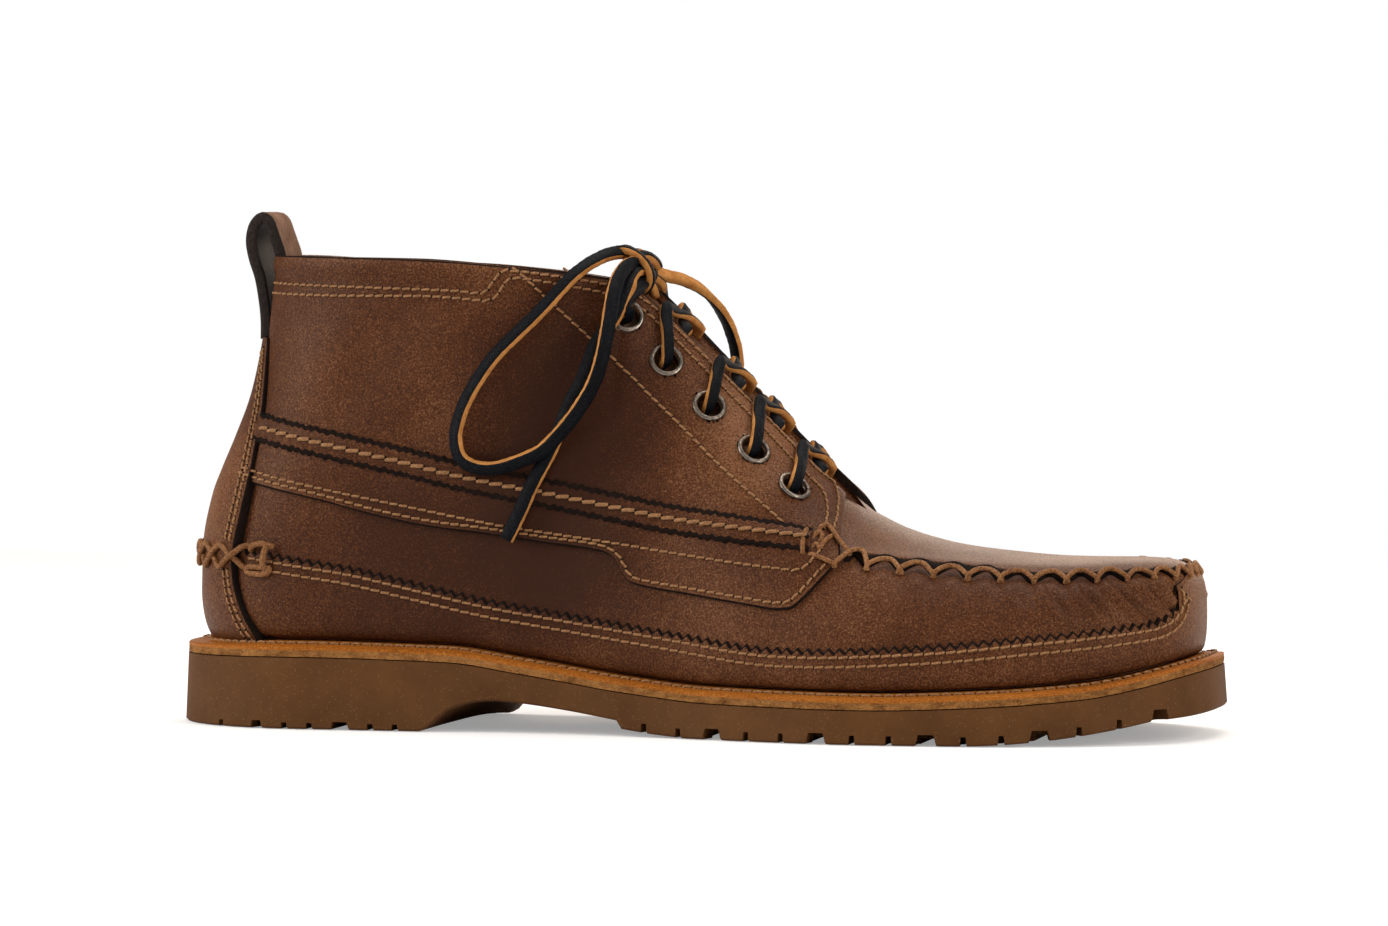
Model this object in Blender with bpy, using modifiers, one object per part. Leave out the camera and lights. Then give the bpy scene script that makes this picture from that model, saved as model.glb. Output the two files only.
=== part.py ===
# Right hand-sewn moccasin ankle boot on a lugged rubber sole.
# Sizes are in millimetres. Stations run along the sole from the back of the heel to the toe.
# The lateral side is -Y, the medial side +Y, and the sole stands on Z = 0.
from collections import namedtuple
from math import acos, atan2, cos, pi, sin, sqrt

import bmesh
import bpy
from mathutils import Matrix, Vector

MM = 0.001
GAP = 0.3

# Driving sizes
SOLE_LENGTH = 302.0
HEEL_HALF = 35.5
HEEL_ROUND = 42.0
BALL_HALF = 53.0
BALL_LATERAL = 204.0
BALL_MEDIAL = 220.0
TOE_TIP_SIDE = 6.0
TOE_POWER = 2.45
EDGE_FLARE = 0.8
TREAD_CHAMFER = 0.6
MIDSOLE_THICK = 3.3
LEDGE_WIDTH = 5.4
LEDGE_RISE = 1.2
WALL = 2.2

COLLAR_HALF = 31.0
COLLAR_BACK = 26.8
COLLAR_MIDDLE = 84.0
COLLAR_ROUND = 31.0
COLLAR_FRONT = 133.0
COLLAR_NOSE = 138.4
COLLAR_POWER = 2.3
COLLAR_STATION = 128.0
THROAT_END = 195.0
PLUG_START = 200.0
CREST_PULL = 30.0

Eyelet = namedtuple("Eyelet", "x drop")
EYELETS = [
    Eyelet(133.8, 9.9), Eyelet(145.4, 11.7), Eyelet(158.2, 11.6), Eyelet(171.5, 10.6),
    Eyelet(184.8, 8.4),
]
EYELET_OUTER = 4.9
EYELET_INNER = 3.1
EYELET_BARREL = 3.5
EYELET_HOLE = 3.95
EYELET_SIDES = 12
LACE_RADIUS = 1.35
CROSSING_STEP = 4.4
BOW_STEP = 6.0

# Half widths of the outsole between the rounded heel and the ball
Waist = namedtuple("Waist", "x lateral medial")
WAIST = [
    Waist(HEEL_ROUND, 35.5, 35.5),
    Waist(80, 36.0, 34.8),
    Waist(112, 36.2, 33.2),
    Waist(145, 40.0, 37.0),
    Waist(176, 48.2, 45.5),
    Waist(BALL_LATERAL, 53.0, 51.6),
    Waist(BALL_MEDIAL, 52.6, 53.0),
]

# Underside of the rubber: flat heel, hollow waist, a step into the tread, toe spring
Under = namedtuple("Under", "x z")
UNDER = [
    Under(0, 0.0), Under(77.5, 0.0), Under(81, 0.4), Under(84.5, 2.0), Under(88.5, 5.3),
    Under(94, 7.6), Under(101, 8.6), Under(110, 8.2), Under(123, 6.4), Under(136, 4.3),
    Under(137, 2.0), Under(146, 0.8), Under(156, 0.0), Under(235, 0.0),
]
TOE_SPRING = 10.4
TOE_SPRING_START = 235.0
TOE_SPRING_POWER = 1.9

RubberTop = namedtuple("RubberTop", "x z")
RUBBER_TOP = [
    RubberTop(0, 19.6), RubberTop(42, 20.2), RubberTop(84, 19.5), RubberTop(108, 16.3),
    RubberTop(138, 11.9), RubberTop(162, 9.8), RubberTop(209, 9.3), RubberTop(237, 10.2),
    RubberTop(268, 12.5), RubberTop(302, 19.8),
]

# A row for each section of the upper: how far its foot and its widest line lie inside the
# sole's edge, the height of the widest line, and how square the section is above it
Section = namedtuple("Section", "x foot belly belly_z square")
SECTIONS = [
    Section(0, 10.6, 6.2, 38, 2.0),
    Section(30, 7.4, 4.0, 38, 2.0),
    Section(80, 6.4, 3.3, 38, 1.8),
    Section(112, 6.4, 3.3, 34, 1.8),
    Section(160, 6.7, 3.8, 27, 1.75),
    Section(190, 6.9, 4.3, 25, 1.85),
    Section(207, 7.0, 4.5, 25, 2.1),
    Section(232, 6.8, 4.6, 25, 2.5),
    Section(275, 6.6, 4.8, 28, 2.8),
    Section(294, 7.2, 6.2, 31, 3.5),
    Section(302, 7.8, 6.9, 32, 4.2),
]

# Back seam: share of the way from the heel's widest line to the collar, by share of the height
Back = namedtuple("Back", "rise run")
BACK = [
    Back(0.0, 0.0), Back(0.13, 0.02), Back(0.28, 0.135), Back(0.36, 0.27), Back(0.445, 0.445),
    Back(0.58, 0.69), Back(0.70, 0.825), Back(0.82, 0.92), Back(1.0, 1.0),
]

# Top line: collar, then the facings' edge, then the crest of the plug
Top = namedtuple("Top", "x z half")
TOP = [
    Top(COLLAR_BACK, 134.6, 0), Top(76, 133.9, 0), Top(98, 132.3, 0), Top(118, 130.1, 0),
    Top(133, 127.6, 13.5), Top(140, 121.5, 11.6), Top(147, 114.9, 10.8), Top(156, 105.8, 10.3),
    Top(171.5, 90.4, 9.6), Top(185.4, 76.0, 8.8), Top(192, 69.8, 8.2), Top(195, 67.2, 8.0),
]
Crest = namedtuple("Crest", "x z side")
CREST = [
    Crest(200, 63.4, 0.0), Crest(209, 58.7, 0.6), Crest(217, 56.0, 1.4), Crest(227, 53.7, 2.4),
    Crest(240, 52.0, 3.6), Crest(253, 50.8, 4.6), Crest(272, 50.2, 5.6),
]

# Strap of the pull loop seen from the side, from the backstay up and down into the collar
Strap = namedtuple("Strap", "x z bend")
STRAP = [
    Strap(22.8, 110.4, 1.0), Strap(22.9, 116.0, 0.9), Strap(22.6, 122.0, 0.6),
    Strap(21.6, 128.3, 0.3), Strap(19.9, 133.5, 0.1), Strap(18.6, 139.0, 0.1),
    Strap(19.9, 143.9, 0.1), Strap(23.0, 146.6, 0.1), Strap(26.0, 145.6, 0.1),
    Strap(28.0, 141.8, 0.2), Strap(28.3, 138.0, 0.7), Strap(27.9, 135.7, 1.0),
]
STRAP_WIDTH = 18.0
STRAP_THICK = 1.5
BACK_RADIUS = 22.0

# Routes of the bow, from the knot outwards
KNOT_RADIUS = 2.7
Route = namedtuple("Route", "name radius points")
BOW = [
    Route("lace_knot", KNOT_RADIUS, [
        (134.2, -5.2, 133.9), (134.8, 0.0, 134.3), (134.8, 5.2, 133.9),
    ]),
    Route("lace_loop_lateral", LACE_RADIUS, [
        (131.6, -6.9, 135.4), (130.0, -12.4, 136.8), (126.2, -20.2, 136.0), (119.4, -28.6, 130.2),
        (111.1, -33.6, 120.6), (102.1, -35.6, 110.6), (95.6, -36.2, 101.6), (90.2, -36.0, 90.8),
        (87.8, -35.8, 82.8), (89.2, -35.6, 77.2), (94.2, -35.6, 74.0), (100.9, -35.8, 74.0),
        (108.9, -36.2, 76.6), (118.4, -37.0, 82.0), (125.0, -37.4, 89.1), (129.8, -37.0, 96.6),
        (132.9, -35.6, 105.0), (134.2, -32.6, 113.4), (134.6, -27.0, 122.0), (134.8, -19.0, 128.6),
        (135.0, -11.6, 131.8), (134.8, -6.9, 131.9),
    ]),
    Route("lace_end_lateral", LACE_RADIUS, [
        (130.8, -6.9, 132.0), (130.0, -13.0, 131.4), (129.2, -20.0, 128.0), (128.4, -25.6, 120.6),
        (127.2, -28.8, 110.5), (124.9, -31.4, 99.8), (121.8, -32.8, 90.0), (117.9, -33.4, 80.0),
        (111.7, -34.4, 68.0), (103.9, -34.9, 54.7),
    ]),
    Route("lace_loop_medial", LACE_RADIUS, [
        (132.4, 6.9, 135.2), (137.0, 11.6, 134.2), (142.6, 17.6, 130.6), (147.6, 24.0, 125.2),
        (151.2, 30.0, 118.4), (152.6, 34.6, 109.8), (151.6, 37.6, 99.6), (148.2, 38.6, 89.4),
        (142.0, 38.4, 81.4), (134.0, 37.2, 78.4), (126.6, 35.8, 81.4), (122.6, 34.8, 88.6),
        (122.0, 34.0, 97.6), (124.2, 32.4, 106.8), (127.4, 29.6, 115.6), (130.4, 24.4, 123.6),
        (133.0, 16.6, 129.8), (134.2, 10.6, 131.6), (134.6, 6.9, 131.5),
    ]),
    Route("lace_end_medial", LACE_RADIUS, [
        (130.8, 6.9, 132.0), (130.0, 13.0, 131.4), (128.8, 20.0, 128.4), (125.6, 26.4, 121.6),
        (121.6, 29.8, 111.6), (117.2, 31.6, 100.8), (113.4, 32.6, 88.8), (110.6, 33.0, 76.8),
        (108.6, 33.2, 65.0),
    ]),
]

Finish = namedtuple("Finish", "color roughness metallic")
FINISHES = {
    "rubber": Finish((0.20, 0.115, 0.055), 0.55, 0.0),
    "midsole": Finish((0.42, 0.21, 0.07), 0.75, 0.0),
    "leather": Finish((0.17, 0.075, 0.034), 0.42, 0.0),
    "dark_leather": Finish((0.02, 0.011, 0.009), 0.5, 0.0),
    "lining": Finish((0.32, 0.19, 0.10), 0.7, 0.0),
    "lace": Finish((0.012, 0.015, 0.02), 0.5, 0.0),
    "metal": Finish((0.22, 0.17, 0.13), 0.38, 1.0),
}


def clear_scene():
    for thing in list(bpy.data.objects):
        bpy.data.objects.remove(thing, do_unlink=True)


def make_collection(name):
    found = bpy.data.collections.new(name)
    bpy.context.scene.collection.children.link(found)
    return found


def make_materials():
    made = {}
    for name, finish in FINISHES.items():
        material = bpy.data.materials.new(name)
        material.use_nodes = True
        shader = material.node_tree.nodes["Principled BSDF"]
        shader.inputs["Base Color"].default_value = (*finish.color, 1.0)
        shader.inputs["Roughness"].default_value = finish.roughness
        shader.inputs["Metallic"].default_value = finish.metallic
        made[name] = material
    return made


def mix(a, b, share):
    return a + (b - a) * share


def ease(low, high, x):
    share = min(1.0, max(0.0, (x - low) / (high - low)))
    return share * share * (3.0 - 2.0 * share)


def along(rows, column, x):
    """Smooth value of one column at x, without overshoot between the rows."""
    key = rows[0]._fields[0]
    xs = [getattr(row, key) for row in rows]
    ys = [getattr(row, column) for row in rows]
    if x <= xs[0]:
        return ys[0]
    if x >= xs[-1]:
        return ys[-1]
    steps = [(ys[i + 1] - ys[i]) / (xs[i + 1] - xs[i]) for i in range(len(xs) - 1)]
    slopes = [steps[0]]
    for before, after in zip(steps, steps[1:]):
        slopes.append(0.0 if before * after <= 0.0 else 2.0 * before * after / (before + after))
    slopes.append(steps[-1])
    i = max(k for k in range(len(steps)) if xs[k] <= x)
    width = xs[i + 1] - xs[i]
    t = (x - xs[i]) / width
    return (
        ys[i] * (1.0 + 2.0 * t) * (1.0 - t) ** 2
        + ys[i + 1] * t * t * (3.0 - 2.0 * t)
        + width * (slopes[i] * t * (1.0 - t) ** 2 - slopes[i + 1] * t * t * (1.0 - t))
    )


def straight(rows, x):
    """Height between rows joined by straight lines."""
    for low, high in zip(rows, rows[1:]):
        if x <= high.x:
            return mix(low.z, high.z, (x - low.x) / (high.x - low.x))
    return rows[-1].z


# The outline of the sole

def half_width(side, x):
    """Signed place of the sole's edge: side is -1 on the lateral side and 1 on the medial."""
    if x < HEEL_ROUND:
        return side * HEEL_HALF * sqrt(max(0.0, 1.0 - (1.0 - x / HEEL_ROUND) ** 2))
    ball = BALL_LATERAL if side < 0 else BALL_MEDIAL
    if x <= ball:
        return side * along(WAIST, "lateral" if side < 0 else "medial", x)
    reach = min(1.0, (x - ball) / (SOLE_LENGTH - ball))
    width = BALL_HALF - side * TOE_TIP_SIDE
    return TOE_TIP_SIDE + side * width * (1.0 - reach**TOE_POWER) ** (1.0 / TOE_POWER)


def outline(side, x, inset=0.0):
    """Point of the sole's edge at a station, moved inwards along the edge's normal."""
    here = Vector((x, half_width(side, x), 0.0))
    low = max(0.0, x - 0.05)
    high = min(SOLE_LENGTH, x + 0.05)
    if low == 0.0 or high == SOLE_LENGTH:
        normal = Vector((-1.0 if low == 0.0 else 1.0, 0.0, 0.0))
    else:
        rise = half_width(side, high) - half_width(side, low)
        normal = Vector((-rise * side, (high - low) * side, 0.0)).normalized()
    return here - normal * inset


def under(x):
    if x > TOE_SPRING_START:
        share = (x - TOE_SPRING_START) / (SOLE_LENGTH - TOE_SPRING_START)
        return TOE_SPRING * share**TOE_SPRING_POWER
    return straight(UNDER, x)


def rubber_top(x):
    return along(RUBBER_TOP, "z", x)


def midsole_top(x):
    return rubber_top(x) + MIDSOLE_THICK


def seat(x):
    """Height of the midsole where the upper stands on it."""
    return midsole_top(x) + LEDGE_RISE


def heel_stations(count):
    return [HEEL_ROUND * (1.0 - cos(pi / 2.0 * i / count)) for i in range(count)]


def toe_stations(start, count):
    reach = SOLE_LENGTH - start
    return [
        start + reach * sin(pi / 2.0 * i / count) ** (2.0 / TOE_POWER)
        for i in range(1, count + 1)
    ]


def spread(low, high, count):
    return [mix(low, high, i / count) for i in range(count)]


# The surface of the upper

def throat_half(x):
    """Half width of the top line: the collar's oval, then the gap between the facings."""
    if x <= COLLAR_FRONT:
        ahead = x > COLLAR_MIDDLE
        reach = COLLAR_NOSE - COLLAR_MIDDLE if ahead else COLLAR_MIDDLE - COLLAR_BACK
        power = 2.0 if ahead else COLLAR_POWER
        share = min(1.0, abs(x - COLLAR_MIDDLE) / reach)
        return COLLAR_HALF * (1.0 - share**power) ** (1.0 / power)
    return along(TOP, "half", x)


def top_point(side, x):
    """Upper end of the section that starts at station x."""
    if x >= PLUG_START:
        pull = CREST_PULL * ((x - PLUG_START) / (SOLE_LENGTH - PLUG_START)) ** 3
        return Vector((x - pull, along(CREST, "side", x - pull), along(CREST, "z", x - pull)))
    if x <= HEEL_ROUND:
        place = COLLAR_BACK + COLLAR_ROUND * x / HEEL_ROUND
    elif x <= COLLAR_STATION:
        share = (x - HEEL_ROUND) / (COLLAR_STATION - HEEL_ROUND)
        place = mix(COLLAR_BACK + COLLAR_ROUND, COLLAR_FRONT, share)
    else:
        share = (x - COLLAR_STATION) / (THROAT_END - COLLAR_STATION)
        place = mix(COLLAR_FRONT, THROAT_END, share)
    return Vector((place, side * throat_half(place), along(TOP, "z", place)))


def upper_point(side, x, level, beyond=0.0):
    """Outer surface: level 0 is the foot, 1 the widest line, 2 the top line.

    Beyond carries a throat section on past the facing's edge, 1 reaching the middle.
    """
    foot = outline(side, x, along(SECTIONS, "foot", x))
    belly = outline(side, x, along(SECTIONS, "belly", x))
    foot.z = seat(foot.x) + GAP
    belly.z = along(SECTIONS, "belly_z", x)
    if level <= 1.0:
        turn = level * pi / 2.0
        place = foot.lerp(belly, sin(turn))
        place.z = mix(foot.z, belly.z, 1.0 - cos(turn))
        return place
    rise = level - 1.0
    top = top_point(side, x)
    square = along(SECTIONS, "square", x)
    closed = x >= PLUG_START
    across = 0.0 if closed else min(0.97, abs(top.y) / abs(belly.y)) if x > 60.0 else 0.9
    edge_turn = acos(across ** (square / 2.0))
    turn = rise * edge_turn
    if beyond > 0.0:
        turn = mix(edge_turn, pi / 2.0, beyond)
    width = max(0.0, cos(turn)) ** (2.0 / square)
    height = sin(turn) ** (2.0 / square) / sin(edge_turn) ** (2.0 / square)
    if closed:
        round_over = top.lerp(belly, width)
        round_over.z = mix(belly.z, top.z, height)
        return round_over
    lean = along(BACK, "run", min(1.0, height))
    round_over = Vector((mix(belly.x, top.x, lean), belly.y * width, mix(belly.z, top.z, height)))
    front = ease(85.0, 150.0, x)
    if front >= 1.0:
        return round_over
    upright = Vector((
        mix(belly.x, top.x, along(BACK, "run", rise)),
        mix(belly.y, top.y, rise * rise),
        mix(belly.z, top.z, rise),
    ))
    return upright.lerp(round_over, front)


def upper_normal(side, x, level):
    """Outward normal of the upper's surface."""
    step_x = 0.4
    step_level = 0.01
    along_x = upper_point(side, x + step_x, level) - upper_point(side, x - step_x, level)
    up = upper_point(side, x, level + step_level) - upper_point(side, x, level - step_level)
    return (along_x.cross(up) * -side).normalized()


# Mesh making

def new_object(name, mesh_builder, material, collection):
    mesh = bpy.data.meshes.new(name)
    bm = bmesh.new()
    mesh_builder(bm)
    bmesh.ops.remove_doubles(bm, verts=bm.verts, dist=0.005 * MM)
    bmesh.ops.recalc_face_normals(bm, faces=bm.faces)
    bm.to_mesh(mesh)
    bm.free()
    thing = bpy.data.objects.new(name, mesh)
    collection.objects.link(thing)
    mesh.materials.append(material)
    mesh.shade_smooth()
    mesh.set_sharp_from_angle(angle=pi / 5.0)
    return thing


def to_world(place):
    """Metres, with the origin under the middle of the sole."""
    return Vector((place.x - SOLE_LENGTH / 2.0, place.y, place.z)) * MM


def add_rows(bm, rows):
    """Faces between neighbouring rows of points; a doubled point leaves a triangle."""
    made = [[bm.verts.new(to_world(place)) for place in row] for row in rows]
    for low, high in zip(made, made[1:]):
        for i in range(len(low) - 1):
            bm.faces.new((low[i], low[i + 1], high[i + 1], high[i]))
    return made


def ring_loft(rings):
    """Closed body from stacked rings, each a list of (lateral, medial) pairs of points."""
    def build(bm):
        loops = []
        for pairs in rings:
            lateral = [pair[0] for pair in pairs]
            medial = [pair[1] for pair in pairs[-2:0:-1]]
            loops.append([bm.verts.new(to_world(place)) for place in lateral + medial])
        for low, high in zip(loops, loops[1:]):
            for i in range(len(low)):
                j = (i + 1) % len(low)
                bm.faces.new((low[i], low[j], high[j], high[i]))
        for loop in (loops[0], loops[-1]):
            count = len(loop)
            last = (count + 2) // 2 - 1
            for i in range(last):
                corners = [loop[i], loop[i + 1], loop[-(i + 1) % count], loop[-i % count]]
                corners = list(dict.fromkeys(corners))
                bm.faces.new(corners)
    return build


def outline_ring(stations, inset, height):
    """Ring inside the sole's edge; inset and height are sizes or functions of the station."""
    pairs = []
    for x in stations:
        pair = [outline(side, x, inset(x) if callable(inset) else inset) for side in (-1, 1)]
        for place in pair:
            place.z = height(place.x)
        pairs.append(pair)
    return pairs


def smooth_route(points, spacing):
    """Even points on a Catmull-Rom curve through the route's own points."""
    places = [Vector(point) for point in points]
    places = [places[0] * 2 - places[1]] + places + [places[-1] * 2 - places[-2]]
    fine = []
    for a, b, c, d in zip(places, places[1:], places[2:], places[3:]):
        for i in range(12):
            t = i / 12.0
            fine.append(0.5 * (
                2.0 * b + (c - a) * t + (2.0 * a - 5.0 * b + 4.0 * c - d) * t * t
                + (3.0 * b - a - 3.0 * c + d) * t**3
            ))
    fine.append(places[-2])
    total = sum((b - a).length for a, b in zip(fine, fine[1:]))
    count = max(2, round(total / spacing))
    even = [fine[0]]
    walked = 0.0
    for a, b in zip(fine, fine[1:]):
        length = (b - a).length
        while len(even) < count and walked + length >= total * len(even) / count:
            even.append(a.lerp(b, (total * len(even) / count - walked) / length))
        walked += length
    even.append(fine[-1])
    return even


def lace_curve(name, points, spacing, radius, material, collection):
    """Round tube with filled caps along a smooth route."""
    curve = bpy.data.curves.new(name, "CURVE")
    curve.dimensions = "3D"
    curve.bevel_depth = radius * MM
    curve.bevel_resolution = 2
    curve.use_fill_caps = True
    even = smooth_route(points, spacing)
    spline = curve.splines.new("POLY")
    spline.points.add(len(even) - 1)
    for point, place in zip(spline.points, even):
        point.co = (*to_world(place), 1.0)
    curve.materials.append(material)
    thing = bpy.data.objects.new(name, curve)
    collection.objects.link(thing)
    return thing


def curve_to_mesh(thing):
    """Replaces a curve object by the closed mesh it makes."""
    graph = bpy.context.evaluated_depsgraph_get()
    mesh = bpy.data.meshes.new_from_object(thing.evaluated_get(graph))
    bm = bmesh.new()
    bm.from_mesh(mesh)
    bmesh.ops.remove_doubles(bm, verts=bm.verts, dist=0.005 * MM)
    bmesh.ops.recalc_face_normals(bm, faces=bm.faces)
    bm.to_mesh(mesh)
    bm.free()
    name = thing.name
    collection = thing.users_collection[0]
    matrix = thing.matrix_world.copy()
    bpy.data.objects.remove(thing, do_unlink=True)
    made = bpy.data.objects.new(name, mesh)
    made.matrix_world = matrix
    collection.objects.link(made)
    return made


def hide_cutter(thing):
    thing.hide_render = True
    thing.display_type = "WIRE"


def add_boolean(thing, other, operation):
    boolean = thing.modifiers.new(operation.lower(), "BOOLEAN")
    boolean.operation = operation
    boolean.solver = "EXACT"
    boolean.object = other
    return boolean


# Sole

Notch = namedtuple("Notch", "x width depth")
HEEL_NOTCHES = [
    Notch(17.0, 2.2, 1.8), Notch(28.7, 4.0, 2.2), Notch(37.4, 2.2, 1.8), Notch(44.9, 2.2, 1.8),
    Notch(54.0, 6.0, 2.2), Notch(63.0, 2.2, 1.8), Notch(70.3, 2.2, 1.8),
]
SMALL_NOTCH = (2.0, 2.6)
WIDE_NOTCH = (6.2, 3.1)
NOTCH_REACH = 7.5
TREAD_START = 143.8
TREAD_PITCH = 10.35
TREAD_COUNT = 15


def notches():
    """Edge notches: the heel's own, then two small ones and a wide one in turn."""
    yield from HEEL_NOTCHES
    for i in range(TREAD_COUNT):
        size = WIDE_NOTCH if i % 3 == 2 else SMALL_NOTCH
        yield Notch(TREAD_START + TREAD_PITCH * i, *size)


def sole_cutter(collection):
    def build(bm):
        for x, width, depth in notches():
            for side in (-1, 1):
                edge = outline(side, x)
                inward = (outline(side, x, 1.0) - edge).normalized()
                tangent = Vector((-inward.y, inward.x, 0.0))
                block = bmesh.ops.create_cube(bm, size=1.0)["verts"]
                for vert in block:
                    taper = 0.7 if vert.co.z > 0.0 else 1.15
                    reach = NOTCH_REACH if vert.co.y > 0.0 else -3.0
                    height = depth if vert.co.z > 0.0 else -2.0
                    place = edge + tangent * vert.co.x * width * taper + inward * reach
                    place.z = under(min(x, SOLE_LENGTH)) + height
                    vert.co = to_world(place)
    cutter = new_object("edge_notches", build, bpy.data.materials["rubber"], collection)
    hide_cutter(cutter)
    return cutter


def insole_inset(x):
    return along(SECTIONS, "foot", x) + WALL + 0.5


def make_sole(parts, cutters, materials):
    breast = [row.x for row in UNDER if row.x > 60.0]
    stations = (
        heel_stations(10) + spread(HEEL_ROUND, 77.5, 4) + breast[:-1] + spread(165, 235, 6)
        + toe_stations(228.0, 12)
    )
    stations = sorted(set(round(x, 3) for x in stations))
    rings = [
        outline_ring(stations, TREAD_CHAMFER, under),
        outline_ring(stations, 0.0, lambda x: under(x) + TREAD_CHAMFER),
        outline_ring(stations, EDGE_FLARE, rubber_top),
    ]
    outsole = new_object("outsole", ring_loft(rings), materials["rubber"], parts)
    add_boolean(outsole, sole_cutter(cutters), "DIFFERENCE")

    stations = heel_stations(8) + spread(HEEL_ROUND, 220, 16) + toe_stations(216.0, 11)
    rings = [
        outline_ring(stations, EDGE_FLARE + 0.1, lambda x: rubber_top(x) + 0.0),
        outline_ring(stations, EDGE_FLARE + 0.1, lambda x: midsole_top(x) - 0.3),
        outline_ring(stations, EDGE_FLARE + 0.5, midsole_top),
        outline_ring(stations, EDGE_FLARE + LEDGE_WIDTH, seat),
    ]
    for pair in rings[0]:
        for place in pair:
            place.z += GAP
    new_object("midsole", ring_loft(rings), materials["midsole"], parts)

    rings = [
        outline_ring(stations, lambda x: insole_inset(x), lambda x: seat(x) + GAP),
        outline_ring(stations, lambda x: insole_inset(x), lambda x: seat(x) + GAP + 2.2),
        outline_ring(stations, lambda x: insole_inset(x) + 0.5, lambda x: seat(x) + GAP + 2.6),
    ]
    new_object("insole", ring_loft(rings), materials["lining"], parts)


# Upper, tongue and backstay

UPPER_LOW = (0.0, 0.34, 0.68, 1.0)
UPPER_HIGH = 7
BACKSTAY_LEVELS = (0.34, 1.742)
BACKSTAY_SEAT = 0.45
BACKSTAY_THICK = 1.4
BackstayEdge = namedtuple("BackstayEdge", "level station")
BACKSTAY_EDGE = [
    BackstayEdge(0.34, 22.0), BackstayEdge(1.0, 16.5), BackstayEdge(1.2, 16.0),
    BackstayEdge(1.4, 12.5), BackstayEdge(1.6, 6.5), BackstayEdge(1.742, 4.5),
]


def upper_stations():
    return (
        heel_stations(9) + spread(HEEL_ROUND, COLLAR_STATION, 11)
        + spread(COLLAR_STATION, THROAT_END, 9) + [THROAT_END]
        + [PLUG_START] + toe_stations(PLUG_START, 13)
    )


def upper_levels():
    return list(UPPER_LOW) + [1.0 + (i + 1) / UPPER_HIGH for i in range(UPPER_HIGH)]


def make_upper(parts, cutters, materials):
    stations = upper_stations()

    def build(bm):
        for side in (-1, 1):
            add_rows(bm, [
                [upper_point(side, x, level) for x in stations] for level in upper_levels()
            ])
    upper = new_object("upper", build, materials["leather"], parts)
    turn_outwards(upper)
    wall = upper.modifiers.new("wall", "SOLIDIFY")
    wall.thickness = WALL * MM
    wall.offset = -1.0
    wall.use_even_offset = True
    add_boolean(upper, eyelet_cutter(cutters), "DIFFERENCE")


def turn_outwards(thing):
    """An open shell keeps the side that faces away from its middle outside."""
    bm = bmesh.new()
    bm.from_mesh(thing.data)
    bm.faces.ensure_lookup_table()
    middle = to_world(Vector((SOLE_LENGTH / 2.0, 0.0, 60.0)))
    votes = sum((f.calc_center_median() - middle).dot(f.normal) * f.calc_area() for f in bm.faces)
    if votes < 0.0:
        bmesh.ops.reverse_faces(bm, faces=bm.faces)
    bm.to_mesh(thing.data)
    bm.free()


def closed_sheet(inner_rows, outer_rows):
    """Closed body between two matching grids of points."""
    def build(bm):
        inner = add_rows(bm, inner_rows)
        outer = add_rows(bm, outer_rows)
        last_row = len(inner) - 1
        last = len(inner[0]) - 1
        border = (
            [(0, i) for i in range(last)] + [(j, last) for j in range(last_row)]
            + [(last_row, i) for i in range(last, 0, -1)] + [(j, 0) for j in range(last_row, 0, -1)]
        )
        for (j, i), (m, k) in zip(border, border[1:] + border[:1]):
            bm.faces.new((inner[j][i], inner[m][k], outer[m][k], outer[j][i]))
    return build


def make_backstay(parts, materials):
    """Strip round the back, cut between two forms of the upper's own surface."""
    levels = [mix(BACKSTAY_LEVELS[0], 1.0, i / 2.0) for i in range(2)]
    levels += [mix(1.0, BACKSTAY_LEVELS[1], i / 7.0) for i in range(8)]
    grids = []
    for offset in (BACKSTAY_SEAT, BACKSTAY_SEAT + BACKSTAY_THICK):
        grid = []
        for level in levels:
            edge = along(BACKSTAY_EDGE, "station", level)
            shares = [i / 5.0 - 1.0 for i in range(11)]
            row = []
            for share in shares:
                side = -1 if share < 0 else 1
                x = edge * share * share
                place = upper_point(side, x, level)
                place += upper_normal(side, max(x, 0.5), level) * offset
                if x == 0.0:
                    place.y = 0.0
                row.append(place)
            grid.append(row)
        grids.append(grid)
    new_object("backstay", closed_sheet(*grids), materials["leather"], parts)


TONGUE_THICK = 2.0
TONGUE_CLEAR = 1.1


def tongue_place(side, x, share):
    """Top of the tongue; share runs from its edge, 0, to the middle, 1."""
    low = 1.72 + 0.2 * ease(185.0, 200.0, x)
    crossing = 0.62
    drop = WALL + TONGUE_CLEAR + 0.9 * (1.0 - ease(134.0, 144.0, x))
    if x >= PLUG_START:
        place = upper_point(side, x, mix(1.66, 2.0, share))
    elif share <= crossing:
        place = upper_point(side, x, mix(low, 2.0, share / crossing))
    else:
        place = upper_point(side, x, 2.0, beyond=(share - crossing) / (1.0 - crossing))
    return place, drop


def make_tongue(parts, materials):
    stations = spread(129.0, THROAT_END, 9) + [THROAT_END, PLUG_START, 205.0, 210.0]
    shares = [(-1, i / 6.0) for i in range(6)] + [(1, i / 6.0) for i in range(6, -1, -1)]
    tops = []
    for x in stations:
        row = []
        for side, share in shares:
            place, drop = tongue_place(side, x, share)
            lean = Vector((0.62, side * 0.62 * (1.0 - share), 0.78)).normalized()
            place = place - lean * drop
            place.z = min(place.z, top_point(side, x).z - 1.2)
            if share == 1.0:
                place.y = 0.0 if x < PLUG_START else place.y
            row.append(place)
        tops.append(row)
    bottoms = [[p - Vector((0.62, 0.0, 0.78)) * TONGUE_THICK for p in row] for row in tops]
    new_object("tongue", closed_sheet(bottoms, tops), materials["leather"], parts)


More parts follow.
